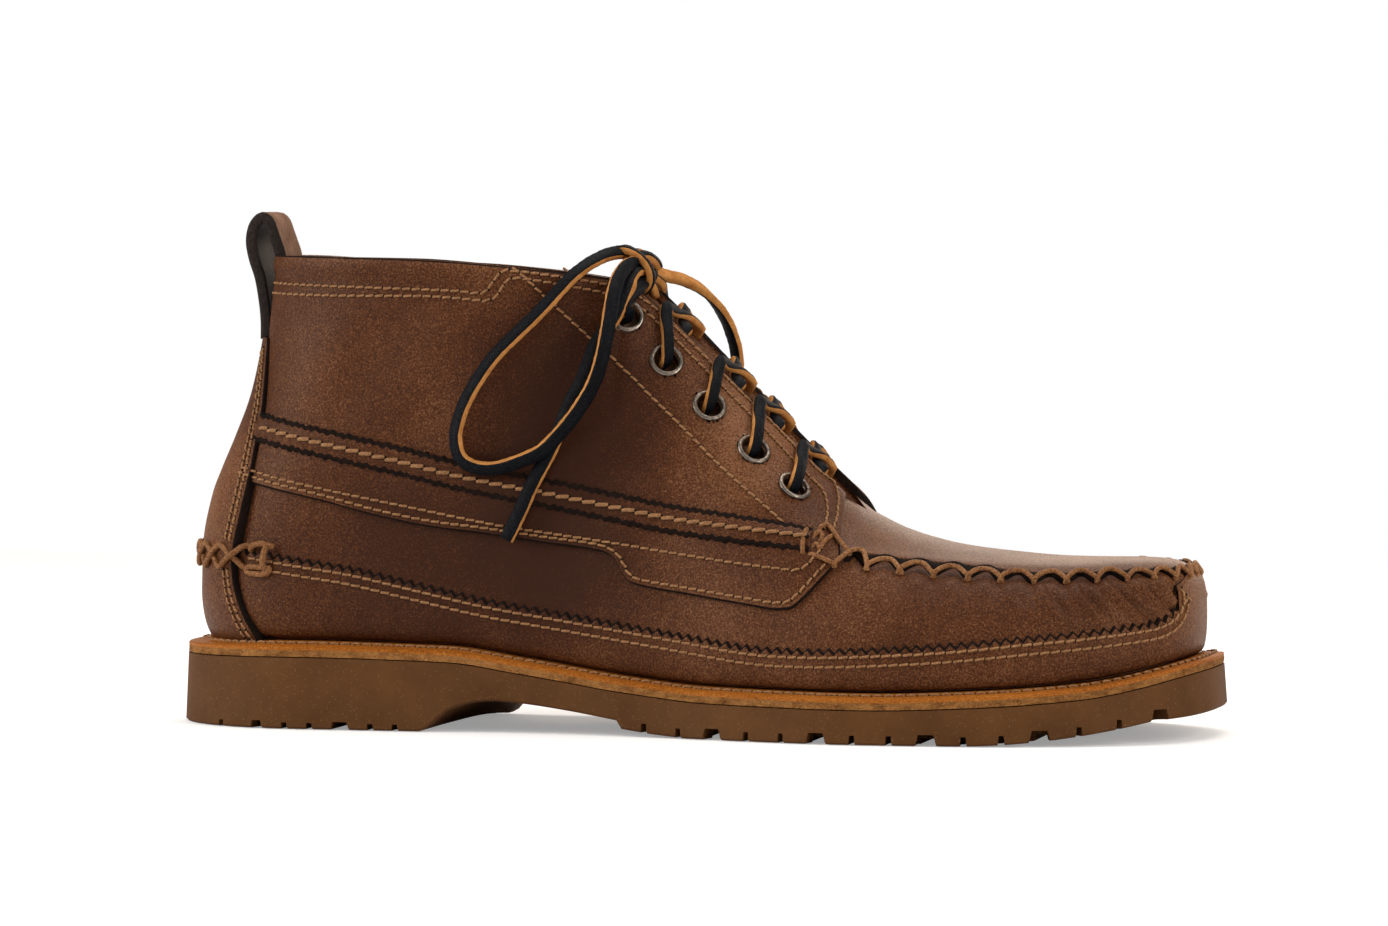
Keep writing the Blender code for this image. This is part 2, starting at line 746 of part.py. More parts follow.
def make_pull_loop(parts, materials):
    """Strap bent round the back of the shaft where it lies against it."""
    route = smooth_route([(row.x, row.bend, row.z) for row in STRAP], 4.0)
    across = [STRAP_WIDTH * (i / 4.0 - 0.5) for i in range(5)]

    def build(bm):
        add_rows(bm, [
            [Vector((p.x + p.y * y * y / (2.0 * BACK_RADIUS), y, p.z)) for y in across]
            for p in route
        ])
    loop = new_object("pull_loop", build, materials["dark_leather"], parts)
    strap = loop.modifiers.new("strap", "SOLIDIFY")
    strap.thickness = STRAP_THICK * MM
    strap.offset = 0.0
    strap.use_even_offset = True


# Eyelets and laces

def eyelet_frame(side, eyelet):
    """Centre and outward normal of an eyelet, set down from the facing's edge."""
    level = 2.0
    top = upper_point(side, eyelet.x, 2.0).z
    while upper_point(side, eyelet.x, level).z > top - eyelet.drop:
        level -= 0.002
    station = eyelet.x
    for _ in range(12):
        station += eyelet.x - upper_point(side, station, level).x
    normal = upper_normal(side, station + 4.0, level) * 2.0 + upper_normal(side, station, level)
    return upper_point(side, station, level), normal.normalized()


def face_along(normal):
    return normal.to_track_quat("Z", "Y").to_matrix().to_4x4()


def eyelet_cutter(collection):
    def build(bm):
        for side in (-1, 1):
            for row in EYELETS:
                centre, normal = eyelet_frame(side, row)
                bmesh.ops.create_cone(
                    bm, cap_ends=True, segments=12, depth=12.0 * MM,
                    radius1=EYELET_HOLE * MM, radius2=EYELET_HOLE * MM,
                    matrix=Matrix.Translation(to_world(centre)) @ face_along(normal),
                )
    cutter = new_object("eyelet_holes", build, bpy.data.materials["leather"], collection)
    hide_cutter(cutter)
    return cutter


def make_eyelets(parts, materials):
    profile = [
        (EYELET_OUTER, 0.55), (EYELET_OUTER, 0.9), (4.0, 1.4), (EYELET_INNER, 1.15),
        (EYELET_INNER, -2.4), (EYELET_BARREL, -2.4), (EYELET_BARREL, 0.55),
    ]
    mesh = bpy.data.meshes.new("eyelet")
    bm = bmesh.new()
    verts = [bm.verts.new((radius * MM, 0.0, height * MM)) for radius, height in profile]
    for a, b in zip(verts, verts[1:] + verts[:1]):
        bm.edges.new((b, a))
    bm.to_mesh(mesh)
    bm.free()
    mesh.materials.append(materials["metal"])
    for side, word in ((-1, "lateral"), (1, "medial")):
        for i, row in enumerate(EYELETS):
            centre, normal = eyelet_frame(side, row)
            eyelet = bpy.data.objects.new(f"eyelet_{word}_{i + 1}", mesh)
            parts.objects.link(eyelet)
            eyelet.matrix_world = Matrix.Translation(to_world(centre)) @ face_along(normal)
            turn = eyelet.modifiers.new("turn", "SCREW")
            turn.axis = "Z"
            turn.steps = EYELET_SIDES
            turn.render_steps = EYELET_SIDES
            turn.use_merge_vertices = True
            turn.merge_threshold = 0.00001
            turn.use_normal_calculate = False


def crossing_route(side, i):
    """One strand: out of an eyelet, over the facing's edge and across the tongue."""
    row = EYELETS[i]
    centre, normal = eyelet_frame(side, row)
    lift = LACE_RADIUS + 1.2
    start = centre + normal * (lift + 0.7)
    over = Vector((0.55, side * 0.25, 0.8))
    edge = upper_point(side, row.x + 1.0, 2.0) + over * (lift + 0.5)
    middle_x = row.x - 3.0
    rise = Vector((0.6, 0.0, 0.8)) * (lift - 0.8)
    middle = Vector((middle_x, 0.0, along(TOP, "z", middle_x))) + rise
    route = [start, start.lerp(edge, 0.5) + normal * 1.1, edge, middle]
    if i > 0:
        far_x = row.x - 6.5
        route.append(Vector((far_x, -side * 6.0, along(TOP, "z", far_x))) + rise)
    return route


def make_laces(parts, cutters, materials):
    for i in range(len(EYELETS)):
        lateral = lace_curve(
            f"lace_crossing_{i + 1}", crossing_route(-1, i), CROSSING_STEP, LACE_RADIUS,
            materials["lace"], parts)
        medial = lace_curve(
            f"strand_{i + 1}", crossing_route(1, i), CROSSING_STEP, LACE_RADIUS,
            materials["lace"], cutters)
        lateral = curve_to_mesh(lateral)
        medial = curve_to_mesh(medial)
        hide_cutter(medial)
        add_boolean(lateral, medial, "UNION")
    for route in BOW:
        lace_curve(route.name, route.points, BOW_STEP, route.radius, materials["lace"], parts)


def main():
    clear_scene()
    materials = make_materials()
    parts = make_collection("bootie")
    cutters = make_collection("cutters")
    make_sole(parts, cutters, materials)
    make_upper(parts, cutters, materials)
    make_backstay(parts, materials)
    make_tongue(parts, materials)
    make_pull_loop(parts, materials)
    make_eyelets(parts, materials)
    make_laces(parts, cutters, materials)


main()
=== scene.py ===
import math

import bmesh
import bpy
import numpy as np
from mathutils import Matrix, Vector
from mathutils.bvhtree import BVHTree


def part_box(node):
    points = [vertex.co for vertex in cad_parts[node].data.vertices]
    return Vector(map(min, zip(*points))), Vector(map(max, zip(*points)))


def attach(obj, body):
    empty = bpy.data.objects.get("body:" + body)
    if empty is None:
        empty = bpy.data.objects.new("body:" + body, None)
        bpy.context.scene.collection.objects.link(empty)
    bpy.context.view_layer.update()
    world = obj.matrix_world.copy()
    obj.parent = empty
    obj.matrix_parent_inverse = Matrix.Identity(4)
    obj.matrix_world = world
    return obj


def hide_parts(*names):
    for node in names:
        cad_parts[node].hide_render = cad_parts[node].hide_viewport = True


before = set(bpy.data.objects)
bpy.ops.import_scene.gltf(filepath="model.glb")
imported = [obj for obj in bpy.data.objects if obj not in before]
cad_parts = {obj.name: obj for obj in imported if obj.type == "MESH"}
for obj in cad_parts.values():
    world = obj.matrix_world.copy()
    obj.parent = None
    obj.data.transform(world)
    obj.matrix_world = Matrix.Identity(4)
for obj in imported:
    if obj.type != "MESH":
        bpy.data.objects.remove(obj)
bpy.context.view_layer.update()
print("frame loaded")

# All shoe sizes are in millimetres, x runs from the heel's back to the toe, z up from the ground,
# side is -1 on the outer side and 1 on the inner side.
mm = 0.001
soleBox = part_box("outsole")
soleLength = (soleBox[1][0] - soleBox[0][0]) / mm
heelBack = soleBox[0][0] / mm
sides = (-1, 1)
sideNames = {-1: "Outer", 1: "Inner"}

lookAt = {
    "azimuth": 13.0, "distance": 1770.0, "cameraHeight": 145.0,
    "target": (-1.8, 0.0, 75.35), "focal": 160.8, "sensor": 36.0, "farClip": 20.0,
}


def addThing(name, data):
    thing = bpy.data.objects.new(name, data)
    bpy.context.scene.collection.objects.link(thing)
    return thing


def aimed(place, target):
    return (target - place).to_track_quat("-Z", "Y").to_euler()


def makeCamera(s):
    turn = math.radians(s["azimuth"])
    target = Vector(s["target"])
    reach = Vector((math.sin(turn), -math.cos(turn), 0.0)) * s["distance"]
    place = Vector((target.x, target.y, 0.0)) + reach + Vector((0.0, 0.0, s["cameraHeight"]))
    data = bpy.data.cameras.new("camera")
    data.lens = s["focal"]
    data.sensor_width = s["sensor"]
    data.clip_end = s["farClip"]
    camera = addThing("camera", data)
    camera.location = place * mm
    camera.rotation_euler = aimed(place, target)
    bpy.context.scene.camera = camera


makeCamera(lookAt)


# Small tools

def mix(a, b, t):
    return a + (b - a) * t


def ease(low, high, x):
    t = np.clip((np.asarray(x, float) - low) / (high - low), 0.0, 1.0)
    return t * t * (3.0 - 2.0 * t)


def unit(v):
    return v / np.maximum(np.linalg.norm(v, axis=-1, keepdims=True), 1e-9)


def smoothLine(xs, ys, x):
    # a curve through rows of a table that never overshoots between them
    xs, ys = np.array(xs, float), np.array(ys, float)
    steps = np.diff(ys) / np.diff(xs)
    before, after = steps[:-1], steps[1:]
    same = before * after > 0.0
    inner = np.where(same, 2.0 * before * after / np.where(same, before + after, 1.0), 0.0)
    slopes = np.concatenate(([steps[0]], inner, [steps[-1]]))
    x = np.clip(x, xs[0], xs[-1])
    i = np.clip(np.searchsorted(xs, x, side="right") - 1, 0, len(steps) - 1)
    width = xs[i + 1] - xs[i]
    t = (x - xs[i]) / width
    return (
        ys[i] * (1.0 + 2.0 * t) * (1.0 - t) ** 2
        + ys[i + 1] * t * t * (3.0 - 2.0 * t)
        + width * (slopes[i] * t * (1.0 - t) ** 2 - slopes[i + 1] * t * t * (1.0 - t))
    )


def row(table, name, x):
    return smoothLine(table["x"], table[name], x)


def spline(points, spacing):
    # Catmull-Rom curve through given points, read off at even spacing
    points = np.array(points, float)
    ends = np.vstack([2 * points[0] - points[1], points, 2 * points[-1] - points[-2]])
    dense = []
    t = np.linspace(0.0, 1.0, 24, endpoint=False)[:, None]
    for i in range(len(points) - 1):
        a, b, c, d = ends[i:i + 4]
        dense.append(0.5 * (
            2 * b + (c - a) * t + (2 * a - 5 * b + 4 * c - d) * t ** 2
            + (3 * b - a - 3 * c + d) * t ** 3
        ))
    return resample(np.vstack(dense + [points[-1:]]), spacing)


def lengths(points):
    return np.concatenate(([0.0], np.cumsum(np.linalg.norm(np.diff(points, axis=0), axis=1))))


def readAt(at, places, rows):
    # rows of numbers, one at each place, read at other places
    return np.stack([np.interp(at, places, column) for column in np.asarray(rows, float).T], axis=-1)


def spread(rows, shares):
    # evenly spread rows of numbers, read at shares of their whole length
    return readAt(shares, np.linspace(0.0, 1.0, len(rows)), rows)


def evenPlaces(run, spacing):
    return np.linspace(0.0, run[-1], max(2, int(round(run[-1] / spacing)) + 1))


def resample(points, spacing):
    run = lengths(points)
    return readAt(evenPlaces(run, spacing), run, points)


def upAlong(points, normals, side):
    # the direction across a line on the surface, towards the top line
    return unit(np.cross(unit(np.gradient(points, axis=0)), normals)) * side


# The shape of the sole and of the upper

shape = {
    "heelHalf": 35.5, "heelRound": 42.0, "ballHalf": 53.0, "ballOuter": 204.0,
    "ballInner": 220.0, "toeTipSide": 6.0, "toePower": 2.45, "edgeFlare": 0.8,
    "treadChamfer": 0.6, "midsoleThick": 3.3, "ledgeWidth": 5.4, "ledgeRise": 1.2,
    "wall": 2.2, "gap": 0.3, "collarHalf": 31.0, "collarBack": 26.8, "collarMiddle": 84.0,
    "collarRound": 31.0, "collarFront": 133.0, "collarNose": 138.4, "collarPower": 2.3,
    "collarStation": 128.0, "throatEnd": 195.0, "plugStart": 200.0, "crestPull": 30.0,
    "toeSpring": 10.4, "toeStation": 216.0, "springStart": 235.0, "springPower": 1.9,
}
waist = {
    "x": [42, 80, 112, 145, 176, 204, 220],
    "outer": [35.5, 36.0, 36.2, 40.0, 48.2, 53.0, 52.6],
    "inner": [35.5, 34.8, 33.2, 37.0, 45.5, 51.6, 53.0],
}
underside = {
    "x": [0, 77.5, 79.8, 82.0, 85.4, 89.6, 94.5, 100, 107, 113, 123, 136, 137, 146, 156, 235],
    "z": [0, 0, 1.0, 3.4, 6.0, 7.7, 8.8, 9.0, 8.5, 7.8, 6.4, 4.3, 2.0, 0.8, 0, 0],
}
rubberEdge = {
    "x": [0, 42, 84, 108, 138, 162, 209, 237, 268, 302],
    "z": [19.6, 20.2, 19.5, 16.3, 11.9, 9.8, 9.3, 10.2, 12.5, 19.8],
}
sections = {
    "x": [0, 30, 80, 112, 160, 190, 207, 232, 275, 294, 302],
    "foot": [10.6, 7.4, 6.4, 6.4, 6.7, 6.9, 7.0, 6.8, 6.6, 7.2, 7.8],
    "belly": [6.2, 4.0, 3.3, 3.3, 3.8, 4.3, 4.5, 4.6, 4.8, 6.2, 6.9],
    "bellyZ": [38, 38, 38, 34, 27, 25, 25, 25, 28, 31, 32],
    "square": [2.0, 2.0, 1.8, 1.8, 1.75, 1.85, 2.1, 2.5, 2.8, 3.5, 4.2],
}
backSeam = {
    "x": [0, 0.13, 0.28, 0.36, 0.445, 0.58, 0.70, 0.82, 1.0],
    "run": [0, 0.02, 0.135, 0.27, 0.445, 0.69, 0.825, 0.92, 1.0],
}
topLine = {
    "x": [26.8, 76, 98, 118, 133, 140, 147, 156, 171.5, 185.4, 192, 195],
    "z": [134.6, 133.9, 132.3, 130.1, 127.6, 121.5, 114.9, 105.8, 90.4, 76.0, 69.8, 67.2],
    "half": [0, 0, 0, 0, 13.5, 11.6, 10.8, 10.3, 9.6, 8.8, 8.2, 8.0],
}
crest = {
    "x": [200, 209, 217, 227, 240, 253, 272],
    "z": [63.4, 58.7, 56.0, 53.7, 52.0, 50.8, 50.2],
    "side": [0.0, 0.6, 1.4, 2.4, 3.6, 4.6, 5.6],
}


def halfWidth(side, x):
    x = np.asarray(x, float)
    s = shape
    back = 1.0 - np.minimum(x, s["heelRound"]) / s["heelRound"]
    heel = s["heelHalf"] * np.sqrt(np.maximum(0.0, 1.0 - back ** 2))
    ball = s["ballOuter"] if side < 0 else s["ballInner"]
    middle = row(waist, "outer" if side < 0 else "inner", x)
    reach = np.clip((x - ball) / (soleLength - ball), 0.0, 1.0)
    width = s["ballHalf"] - side * s["toeTipSide"]
    toe = side * s["toeTipSide"] + width * (1.0 - reach ** s["toePower"]) ** (1.0 / s["toePower"])
    return side * np.where(x < s["heelRound"], heel, np.where(x <= ball, middle, toe))


def outline(side, x, inset):
    x = np.asarray(x, float)
    low = np.maximum(0.0, x - 0.05)
    high = np.minimum(soleLength, x + 0.05)
    rise = halfWidth(side, high) - halfWidth(side, low)
    nx, ny = -rise * side, (high - low) * side
    size = np.hypot(nx, ny)
    nx, ny = nx / size, ny / size
    nx = np.where(x <= 0.05, -1.0, np.where(x >= soleLength - 0.05, 1.0, nx))
    ny = np.where((x <= 0.05) | (x >= soleLength - 0.05), 0.0, ny)
    return x - nx * inset, halfWidth(side, x) - ny * inset


def underHeight(x):
    spring = np.clip((x - shape["springStart"]) / (soleLength - shape["springStart"]), 0.0, 1.0)
    lift = shape["toeSpring"] * spring ** shape["springPower"] - 2.2 * ease(284.0, 302.0, x)
    return np.interp(x, underside["x"], underside["z"]) + lift


def rubberTop(x):
    return row(rubberEdge, "z", x)


def midsoleTop(x):
    return rubberTop(x) + shape["midsoleThick"]


def seatHeight(x):
    return midsoleTop(x) + shape["ledgeRise"]


def topPoint(side, x):
    s = shape
    closed = x >= s["plugStart"]
    pull = s["crestPull"] * (np.maximum(0.0, x - s["plugStart"]) / (soleLength - s["plugStart"])) ** 3
    crestX = x - pull
    heelPlace = s["collarBack"] + s["collarRound"] * x / s["heelRound"]
    share = (x - s["heelRound"]) / (s["collarStation"] - s["heelRound"])
    middlePlace = mix(s["collarBack"] + s["collarRound"], s["collarFront"], share)
    share = (x - s["collarStation"]) / (s["throatEnd"] - s["collarStation"])
    frontPlace = mix(s["collarFront"], s["throatEnd"], share)
    place = np.where(x <= s["collarStation"], middlePlace, frontPlace)
    place = np.where(x <= s["heelRound"], heelPlace, place)
    ahead = place > s["collarMiddle"]
    reach = np.where(ahead, s["collarNose"] - s["collarMiddle"], s["collarMiddle"] - s["collarBack"])
    power = np.where(ahead, 2.0, s["collarPower"])
    share = np.clip(np.abs(place - s["collarMiddle"]) / reach, 0.0, 1.0)
    oval = s["collarHalf"] * (1.0 - share ** power) ** (1.0 / power)
    half = np.where(place <= s["collarFront"], oval, row(topLine, "half", place))
    return (
        np.where(closed, crestX, place),
        np.where(closed, row(crest, "side", crestX), side * half),
        np.where(closed, row(crest, "z", crestX), row(topLine, "z", place)),
    )


def upperPoint(side, x, level, beyond=0.0):
    # outer face of the upper: level 0 is its foot, 1 its widest line, 2 its top line
    x, level = np.broadcast_arrays(np.asarray(x, float), np.asarray(level, float))
    footX, footY = outline(side, x, row(sections, "foot", x))
    bellyX, bellyY = outline(side, x, row(sections, "belly", x))
    footZ = seatHeight(footX) + shape["gap"]
    bellyZ = row(sections, "bellyZ", x)
    turn = np.minimum(level, 1.0) * math.pi / 2.0
    low = np.stack([
        mix(footX, bellyX, np.sin(turn)), mix(footY, bellyY, np.sin(turn)),
        mix(footZ, bellyZ, 1.0 - np.cos(turn)),
    ], axis=-1)
    rise = np.clip(level - 1.0, 0.0, 1.0)
    topX, topY, topZ = topPoint(side, x)
    square = row(sections, "square", x)
    closed = x >= shape["plugStart"]
    share = np.minimum(0.97, np.abs(topY) / np.maximum(np.abs(bellyY), 1e-6))
    across = np.where(closed, 0.0, np.where(x > 60.0, share, 0.9))
    edgeTurn = np.arccos(across ** (square / 2.0))
    turn = mix(edgeTurn, math.pi / 2.0, beyond) if beyond else rise * edgeTurn
    width = np.maximum(0.0, np.cos(turn)) ** (2.0 / square)
    height = np.sin(turn) ** (2.0 / square) / np.sin(edgeTurn) ** (2.0 / square)
    over = np.stack([mix(topX, bellyX, width), mix(topY, bellyY, width), mix(bellyZ, topZ, height)], axis=-1)
    lean = smoothLine(backSeam["x"], backSeam["run"], np.minimum(1.0, height))
    arch = np.stack([mix(bellyX, topX, lean), bellyY * width, mix(bellyZ, topZ, height)], axis=-1)
    upright = np.stack([
        mix(bellyX, topX, smoothLine(backSeam["x"], backSeam["run"], rise)),
        mix(bellyY, topY, rise * rise), mix(bellyZ, topZ, rise),
    ], axis=-1)
    front = ease(85.0, 150.0, x)[..., None]
    high = np.where(closed[..., None], over, mix(upright, arch, front))
    return np.where((level <= 1.0)[..., None], low, high)


# A table of each side's skin, read at any station and height

def endStations(start, count, power):
    reach = soleLength - start
    return start + reach * np.sin(np.linspace(0.0, math.pi / 2.0, count)) ** (2.0 / power)


def heelStations(count):
    turn = np.linspace(0.0, math.pi / 2.0, count, endpoint=False)
    return shape["heelRound"] * (1.0 - np.cos(turn))


farSide = {"collarDrop": 1.6, "heelLonger": 8.5}


def farDrop(side, x):
    # the inner side's collar stands a little lower
    return (farSide["collarDrop"] if side > 0 else 0.0) * ease(30.0, 60.0, x) * ease(140.0, 128.0, x)


class Skin:
    def __init__(self, side):
        self.side = side
        s = shape
        self.u = np.concatenate([
            heelStations(60), np.linspace(s["heelRound"], s["collarStation"], 90, endpoint=False),
            np.linspace(s["collarStation"], s["throatEnd"], 70),
            endStations(s["plugStart"], 170, s["toePower"]),
        ])
        levels = np.concatenate([np.linspace(0.0, 1.0, 24, endpoint=False), np.linspace(1.0, 2.0, 160)])
        self.low = upperPoint(side, self.u, 0.0)[:, 2]
        top = upperPoint(side, self.u, 2.0)
        self.high = top[:, 2] - farDrop(side, top[:, 0])
        self.v = np.linspace(0.0, 1.0, 260)
        points = upperPoint(side, self.u[:, None], levels[None, :])
        table = np.zeros((len(self.u), len(self.v), 3))
        for i in range(len(self.u)):
            z = mix(self.low[i], self.high[i], self.v)
            rising = np.maximum.accumulate(points[i, :, 2] + np.arange(len(levels)) * 1e-7)
            at = np.interp(z, rising, levels)
            table[i] = readAt(at, levels, points[i])
        self.points = table
        alongU = np.gradient(table, axis=0)
        alongV = np.gradient(table, axis=1)
        self.normals = unit(np.cross(alongU, alongV) * -side)
        self.normals[0, :, 1] = 0.0
        self.normals[-1, :, 1] = 0.0
        self.normals = unit(self.normals)

    def look(self, what, u, z):
        u = np.clip(u, 0.0, soleLength)
        i = np.clip(np.searchsorted(self.u, u, side="right") - 1, 0, len(self.u) - 2)
        a = ((u - self.u[i]) / (self.u[i + 1] - self.u[i]))[..., None]
        low = mix(self.low[i], self.low[i + 1], a[..., 0])
        high = mix(self.high[i], self.high[i + 1], a[..., 0])
        v = np.clip((z - low) / (high - low), 0.0, 1.0) * (len(self.v) - 1)
        j = np.clip(v.astype(int), 0, len(self.v) - 2)
        b = (v - j)[..., None]
        return mix(mix(what[i, j], what[i + 1, j], a), mix(what[i, j + 1], what[i + 1, j + 1], a), b)

    def at(self, u, z, lift=0.0):
        u, z = np.broadcast_arrays(np.asarray(u, float), np.asarray(z, float))
        normal = unit(self.look(self.normals, u, z))
        return self.look(self.points, u, z) + normal * np.asarray(lift)[..., None], normal

    def station(self, x, z):
        # the station whose section passes through x at height z
        x, z = np.broadcast_arrays(np.asarray(x, float), np.asarray(z, float))
        u = x.copy()
        for _ in range(14):
            u = np.clip(u + 0.9 * (x - self.look(self.points, u, z)[..., 0]), 0.3, soleLength)
        return u

    def seen(self, x, z, lift=0.0):
        return self.at(self.station(x, z), z, lift)


skins = {side: Skin(side) for side in sides}
print("skin tables ready")


# Mesh making

def toWorld(points):
    points = np.asarray(points, float)
    return (points + np.array([heelBack, 0.0, 0.0])) * mm


def addObject(name, points, faces, materials, indices=None, smooth=True, merge=0.0, attributes=None):
    mesh = bpy.data.meshes.new(name)
    mesh.from_pydata(toWorld(points).tolist(), [], [tuple(int(k) for k in f) for f in faces])
    for material in materials:
        mesh.materials.append(material)
    if indices is not None:
        mesh.polygons.foreach_set("material_index", np.asarray(indices, np.int32))
    for key, values in (attributes or {}).items():
        layer = mesh.attributes.new(key, "FLOAT", "POINT")
        layer.data.foreach_set("value", np.asarray(values, np.float32))
    if merge:
        bm = bmesh.new()
        bm.from_mesh(mesh)
        bmesh.ops.remove_doubles(bm, verts=bm.verts, dist=merge * mm)
        bmesh.ops.dissolve_degenerate(bm, edges=bm.edges, dist=1e-7)
        bm.to_mesh(mesh)
        bm.free()
    mesh.polygons.foreach_set("use_smooth", np.full(len(mesh.polygons), smooth))
    mesh.update()
    return addThing(name, mesh)


def finish(thing, slot, *nodes):
    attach(thing, "root")
    if nodes:
        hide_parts(*nodes)
    return thing


def gridFaces(rows, columns, start=0, flip=False, wrap=False):
    i, j = np.meshgrid(np.arange(rows - 1), np.arange(columns if wrap else columns - 1), indexing="ij")
    i, j = i.ravel(), j.ravel()
    k = (j + 1) % columns
    a, b = start + i * columns + j, start + i * columns + k
    c, d = start + (i + 1) * columns + k, start + (i + 1) * columns + j
    return np.stack([a, d, c, b] if flip else [a, b, c, d], axis=1)


def sealedSheet(top, bottom, flip):
    # closes two grids of the same size into one body; returns its points and faces
    rows, columns = top.shape[:2]
    count = rows * columns
    points = np.concatenate([top.reshape(-1, 3), bottom.reshape(-1, 3)])
    faces = [gridFaces(rows, columns, 0, flip), gridFaces(rows, columns, count, not flip)]
    ring = np.concatenate([
        np.arange(columns), np.arange(1, rows) * columns + columns - 1,
        (rows - 1) * columns + np.arange(columns - 2, -1, -1), np.arange(rows - 2, 0, -1) * columns,
    ])
    after = np.roll(ring, -1)
    rim = [after, ring, ring + count, after + count]
    faces.append(np.stack(rim[::-1] if flip else rim, axis=1))
    return points, np.concatenate(faces)


def outwards(points, faces):
    # true where the closed body that these faces make already points outward
    size = 0.0
    for corners in (faces if isinstance(faces, list) else [faces]):
        corners = np.asarray(corners)
        for k in range(1, corners.shape[1] - 1):
            a, b, c = (points[corners[:, i]] for i in (0, k, k + 1))
            size += np.einsum("ij,ij->", a, np.cross(b, c))
    return size > 0.0


def outwardSheet(top, bottom):
    points, faces = sealedSheet(top, bottom, False)
    return points, faces if outwards(points, faces) else faces[:, ::-1]


def markColumns(faces, top, marks, rest):
    # each upper face of a sheet takes its column's mark, and all the others take one mark
    index = np.full(len(faces), rest)
    index[:(top.shape[0] - 1) * (top.shape[1] - 1)] = np.tile(marks, top.shape[0] - 1)
    return index


# Shader groups

def makeGroup(name, inputs, outputs):
    tree = bpy.data.node_groups.new(name, "ShaderNodeTree")
    for label, kind, value in inputs:
        socket = tree.interface.new_socket(label, in_out="INPUT", socket_type="NodeSocket" + kind)
        if value is not None:
            socket.default_value = value
    for label, kind in outputs:
        tree.interface.new_socket(label, in_out="OUTPUT", socket_type="NodeSocket" + kind)
    return tree, tree.nodes.new("NodeGroupInput"), tree.nodes.new("NodeGroupOutput")


def put(tree, kind, links=None, **settings):
    # adds a node; links maps its inputs to sockets or to plain values
    node = tree.nodes.new(kind)
    for key, value in settings.items():
        setattr(node, key, value)
    for key, value in (links or {}).items():
        if isinstance(value, bpy.types.NodeSocket):
            tree.links.new(value, node.inputs[key])
        else:
            node.inputs[key].default_value = value
    return node


def noise(tree, vector, scale, detail=3.0, roughness=0.55, distortion=0.0):
    return put(tree, "ShaderNodeTexNoise", {
        "Vector": vector, "Scale": scale, "Detail": detail, "Roughness": roughness,
        "Distortion": distortion,
    }).outputs["Fac"]


def calc(tree, operation, a, b=0.0, c=None):
    links = {0: a, 1: b}
    if c is not None:
        links[2] = c
    return put(tree, "ShaderNodeMath", links, operation=operation).outputs[0]


def blendColors(tree, factor, a, b):
    return put(tree, "ShaderNodeMix", {0: factor, 6: a, 7: b}, data_type="RGBA").outputs[2]


def levelsOf(tree, value, low=0.0, high=1.0, newLow=0.0, newHigh=1.0):
    return put(tree, "ShaderNodeMapRange", {
        "Value": value, "From Min": low, "From Max": high, "To Min": newLow, "To Max": newHigh,
    }).outputs["Result"]


def vectorCalc(tree, operation, links, output="Vector"):
    return put(tree, "ShaderNodeVectorMath", links, operation=operation).outputs[output]


def giveOut(tree, end, values):
    for key, value in values.items():
        tree.links.new(value, end.inputs[key])


def buildGrain():
    tree, start, end = makeGroup("leatherGrain", [
        ("Vector", "Vector", None), ("Pebble", "Float", 1500.0), ("Crease", "Float", 0.25),
    ], [("Height", "Float"), ("Mottle", "Float")])
    vector = start.outputs["Vector"]
    cells = put(tree, "ShaderNodeTexVoronoi", {
        "Vector": vector, "Scale": start.outputs["Pebble"],
    }, feature="SMOOTH_F1")
    fine = noise(tree, vector, 2600.0, 2.0)
    pebble = calc(tree, "MULTIPLY_ADD", cells.outputs["Distance"], -0.7, fine)
    wrinkle = noise(tree, vector, 210.0, 4.0, 0.6, 0.6)
    folded = calc(tree, "ABSOLUTE", calc(tree, "SUBTRACT", wrinkle, 0.5))
    folded = calc(tree, "MULTIPLY", folded, 3.0)
    mottle = calc(tree, "MULTIPLY_ADD", noise(tree, vector, 30.0, 4.0, 0.55), 0.82,
                  calc(tree, "MULTIPLY", noise(tree, vector, 420.0, 3.0, 0.6), 0.18))
    giveOut(tree, end, {
        "Height": calc(tree, "MULTIPLY_ADD", folded, start.outputs["Crease"], pebble),
        "Mottle": levelsOf(tree, mottle, 0.3, 0.7),
    })
    return tree


paintedLightAndShadeZones = [
    # centre, one over the reach along each axis, and how much paler: painted shade under the bow and in the
    # ankle's hollow first, then painted light where the lamps fall on the quarter's front, the heel and the
    # toe
    ((-0.033, 0.0, 0.080), (29.0, 0.0, 16.0), -0.9),
    ((-0.066, 0.0, 0.046), (17.0, 0.0, 27.0), -0.55),
    ((0.018, 0.0, 0.088), (40.0, 0.0, 30.0), 0.5),
    ((-0.150, 0.0, 0.062), (36.0, 0.0, 18.0), 0.55),
    ((0.146, 0.0, 0.040), (34.0, 0.0, 34.0), 0.4),
]


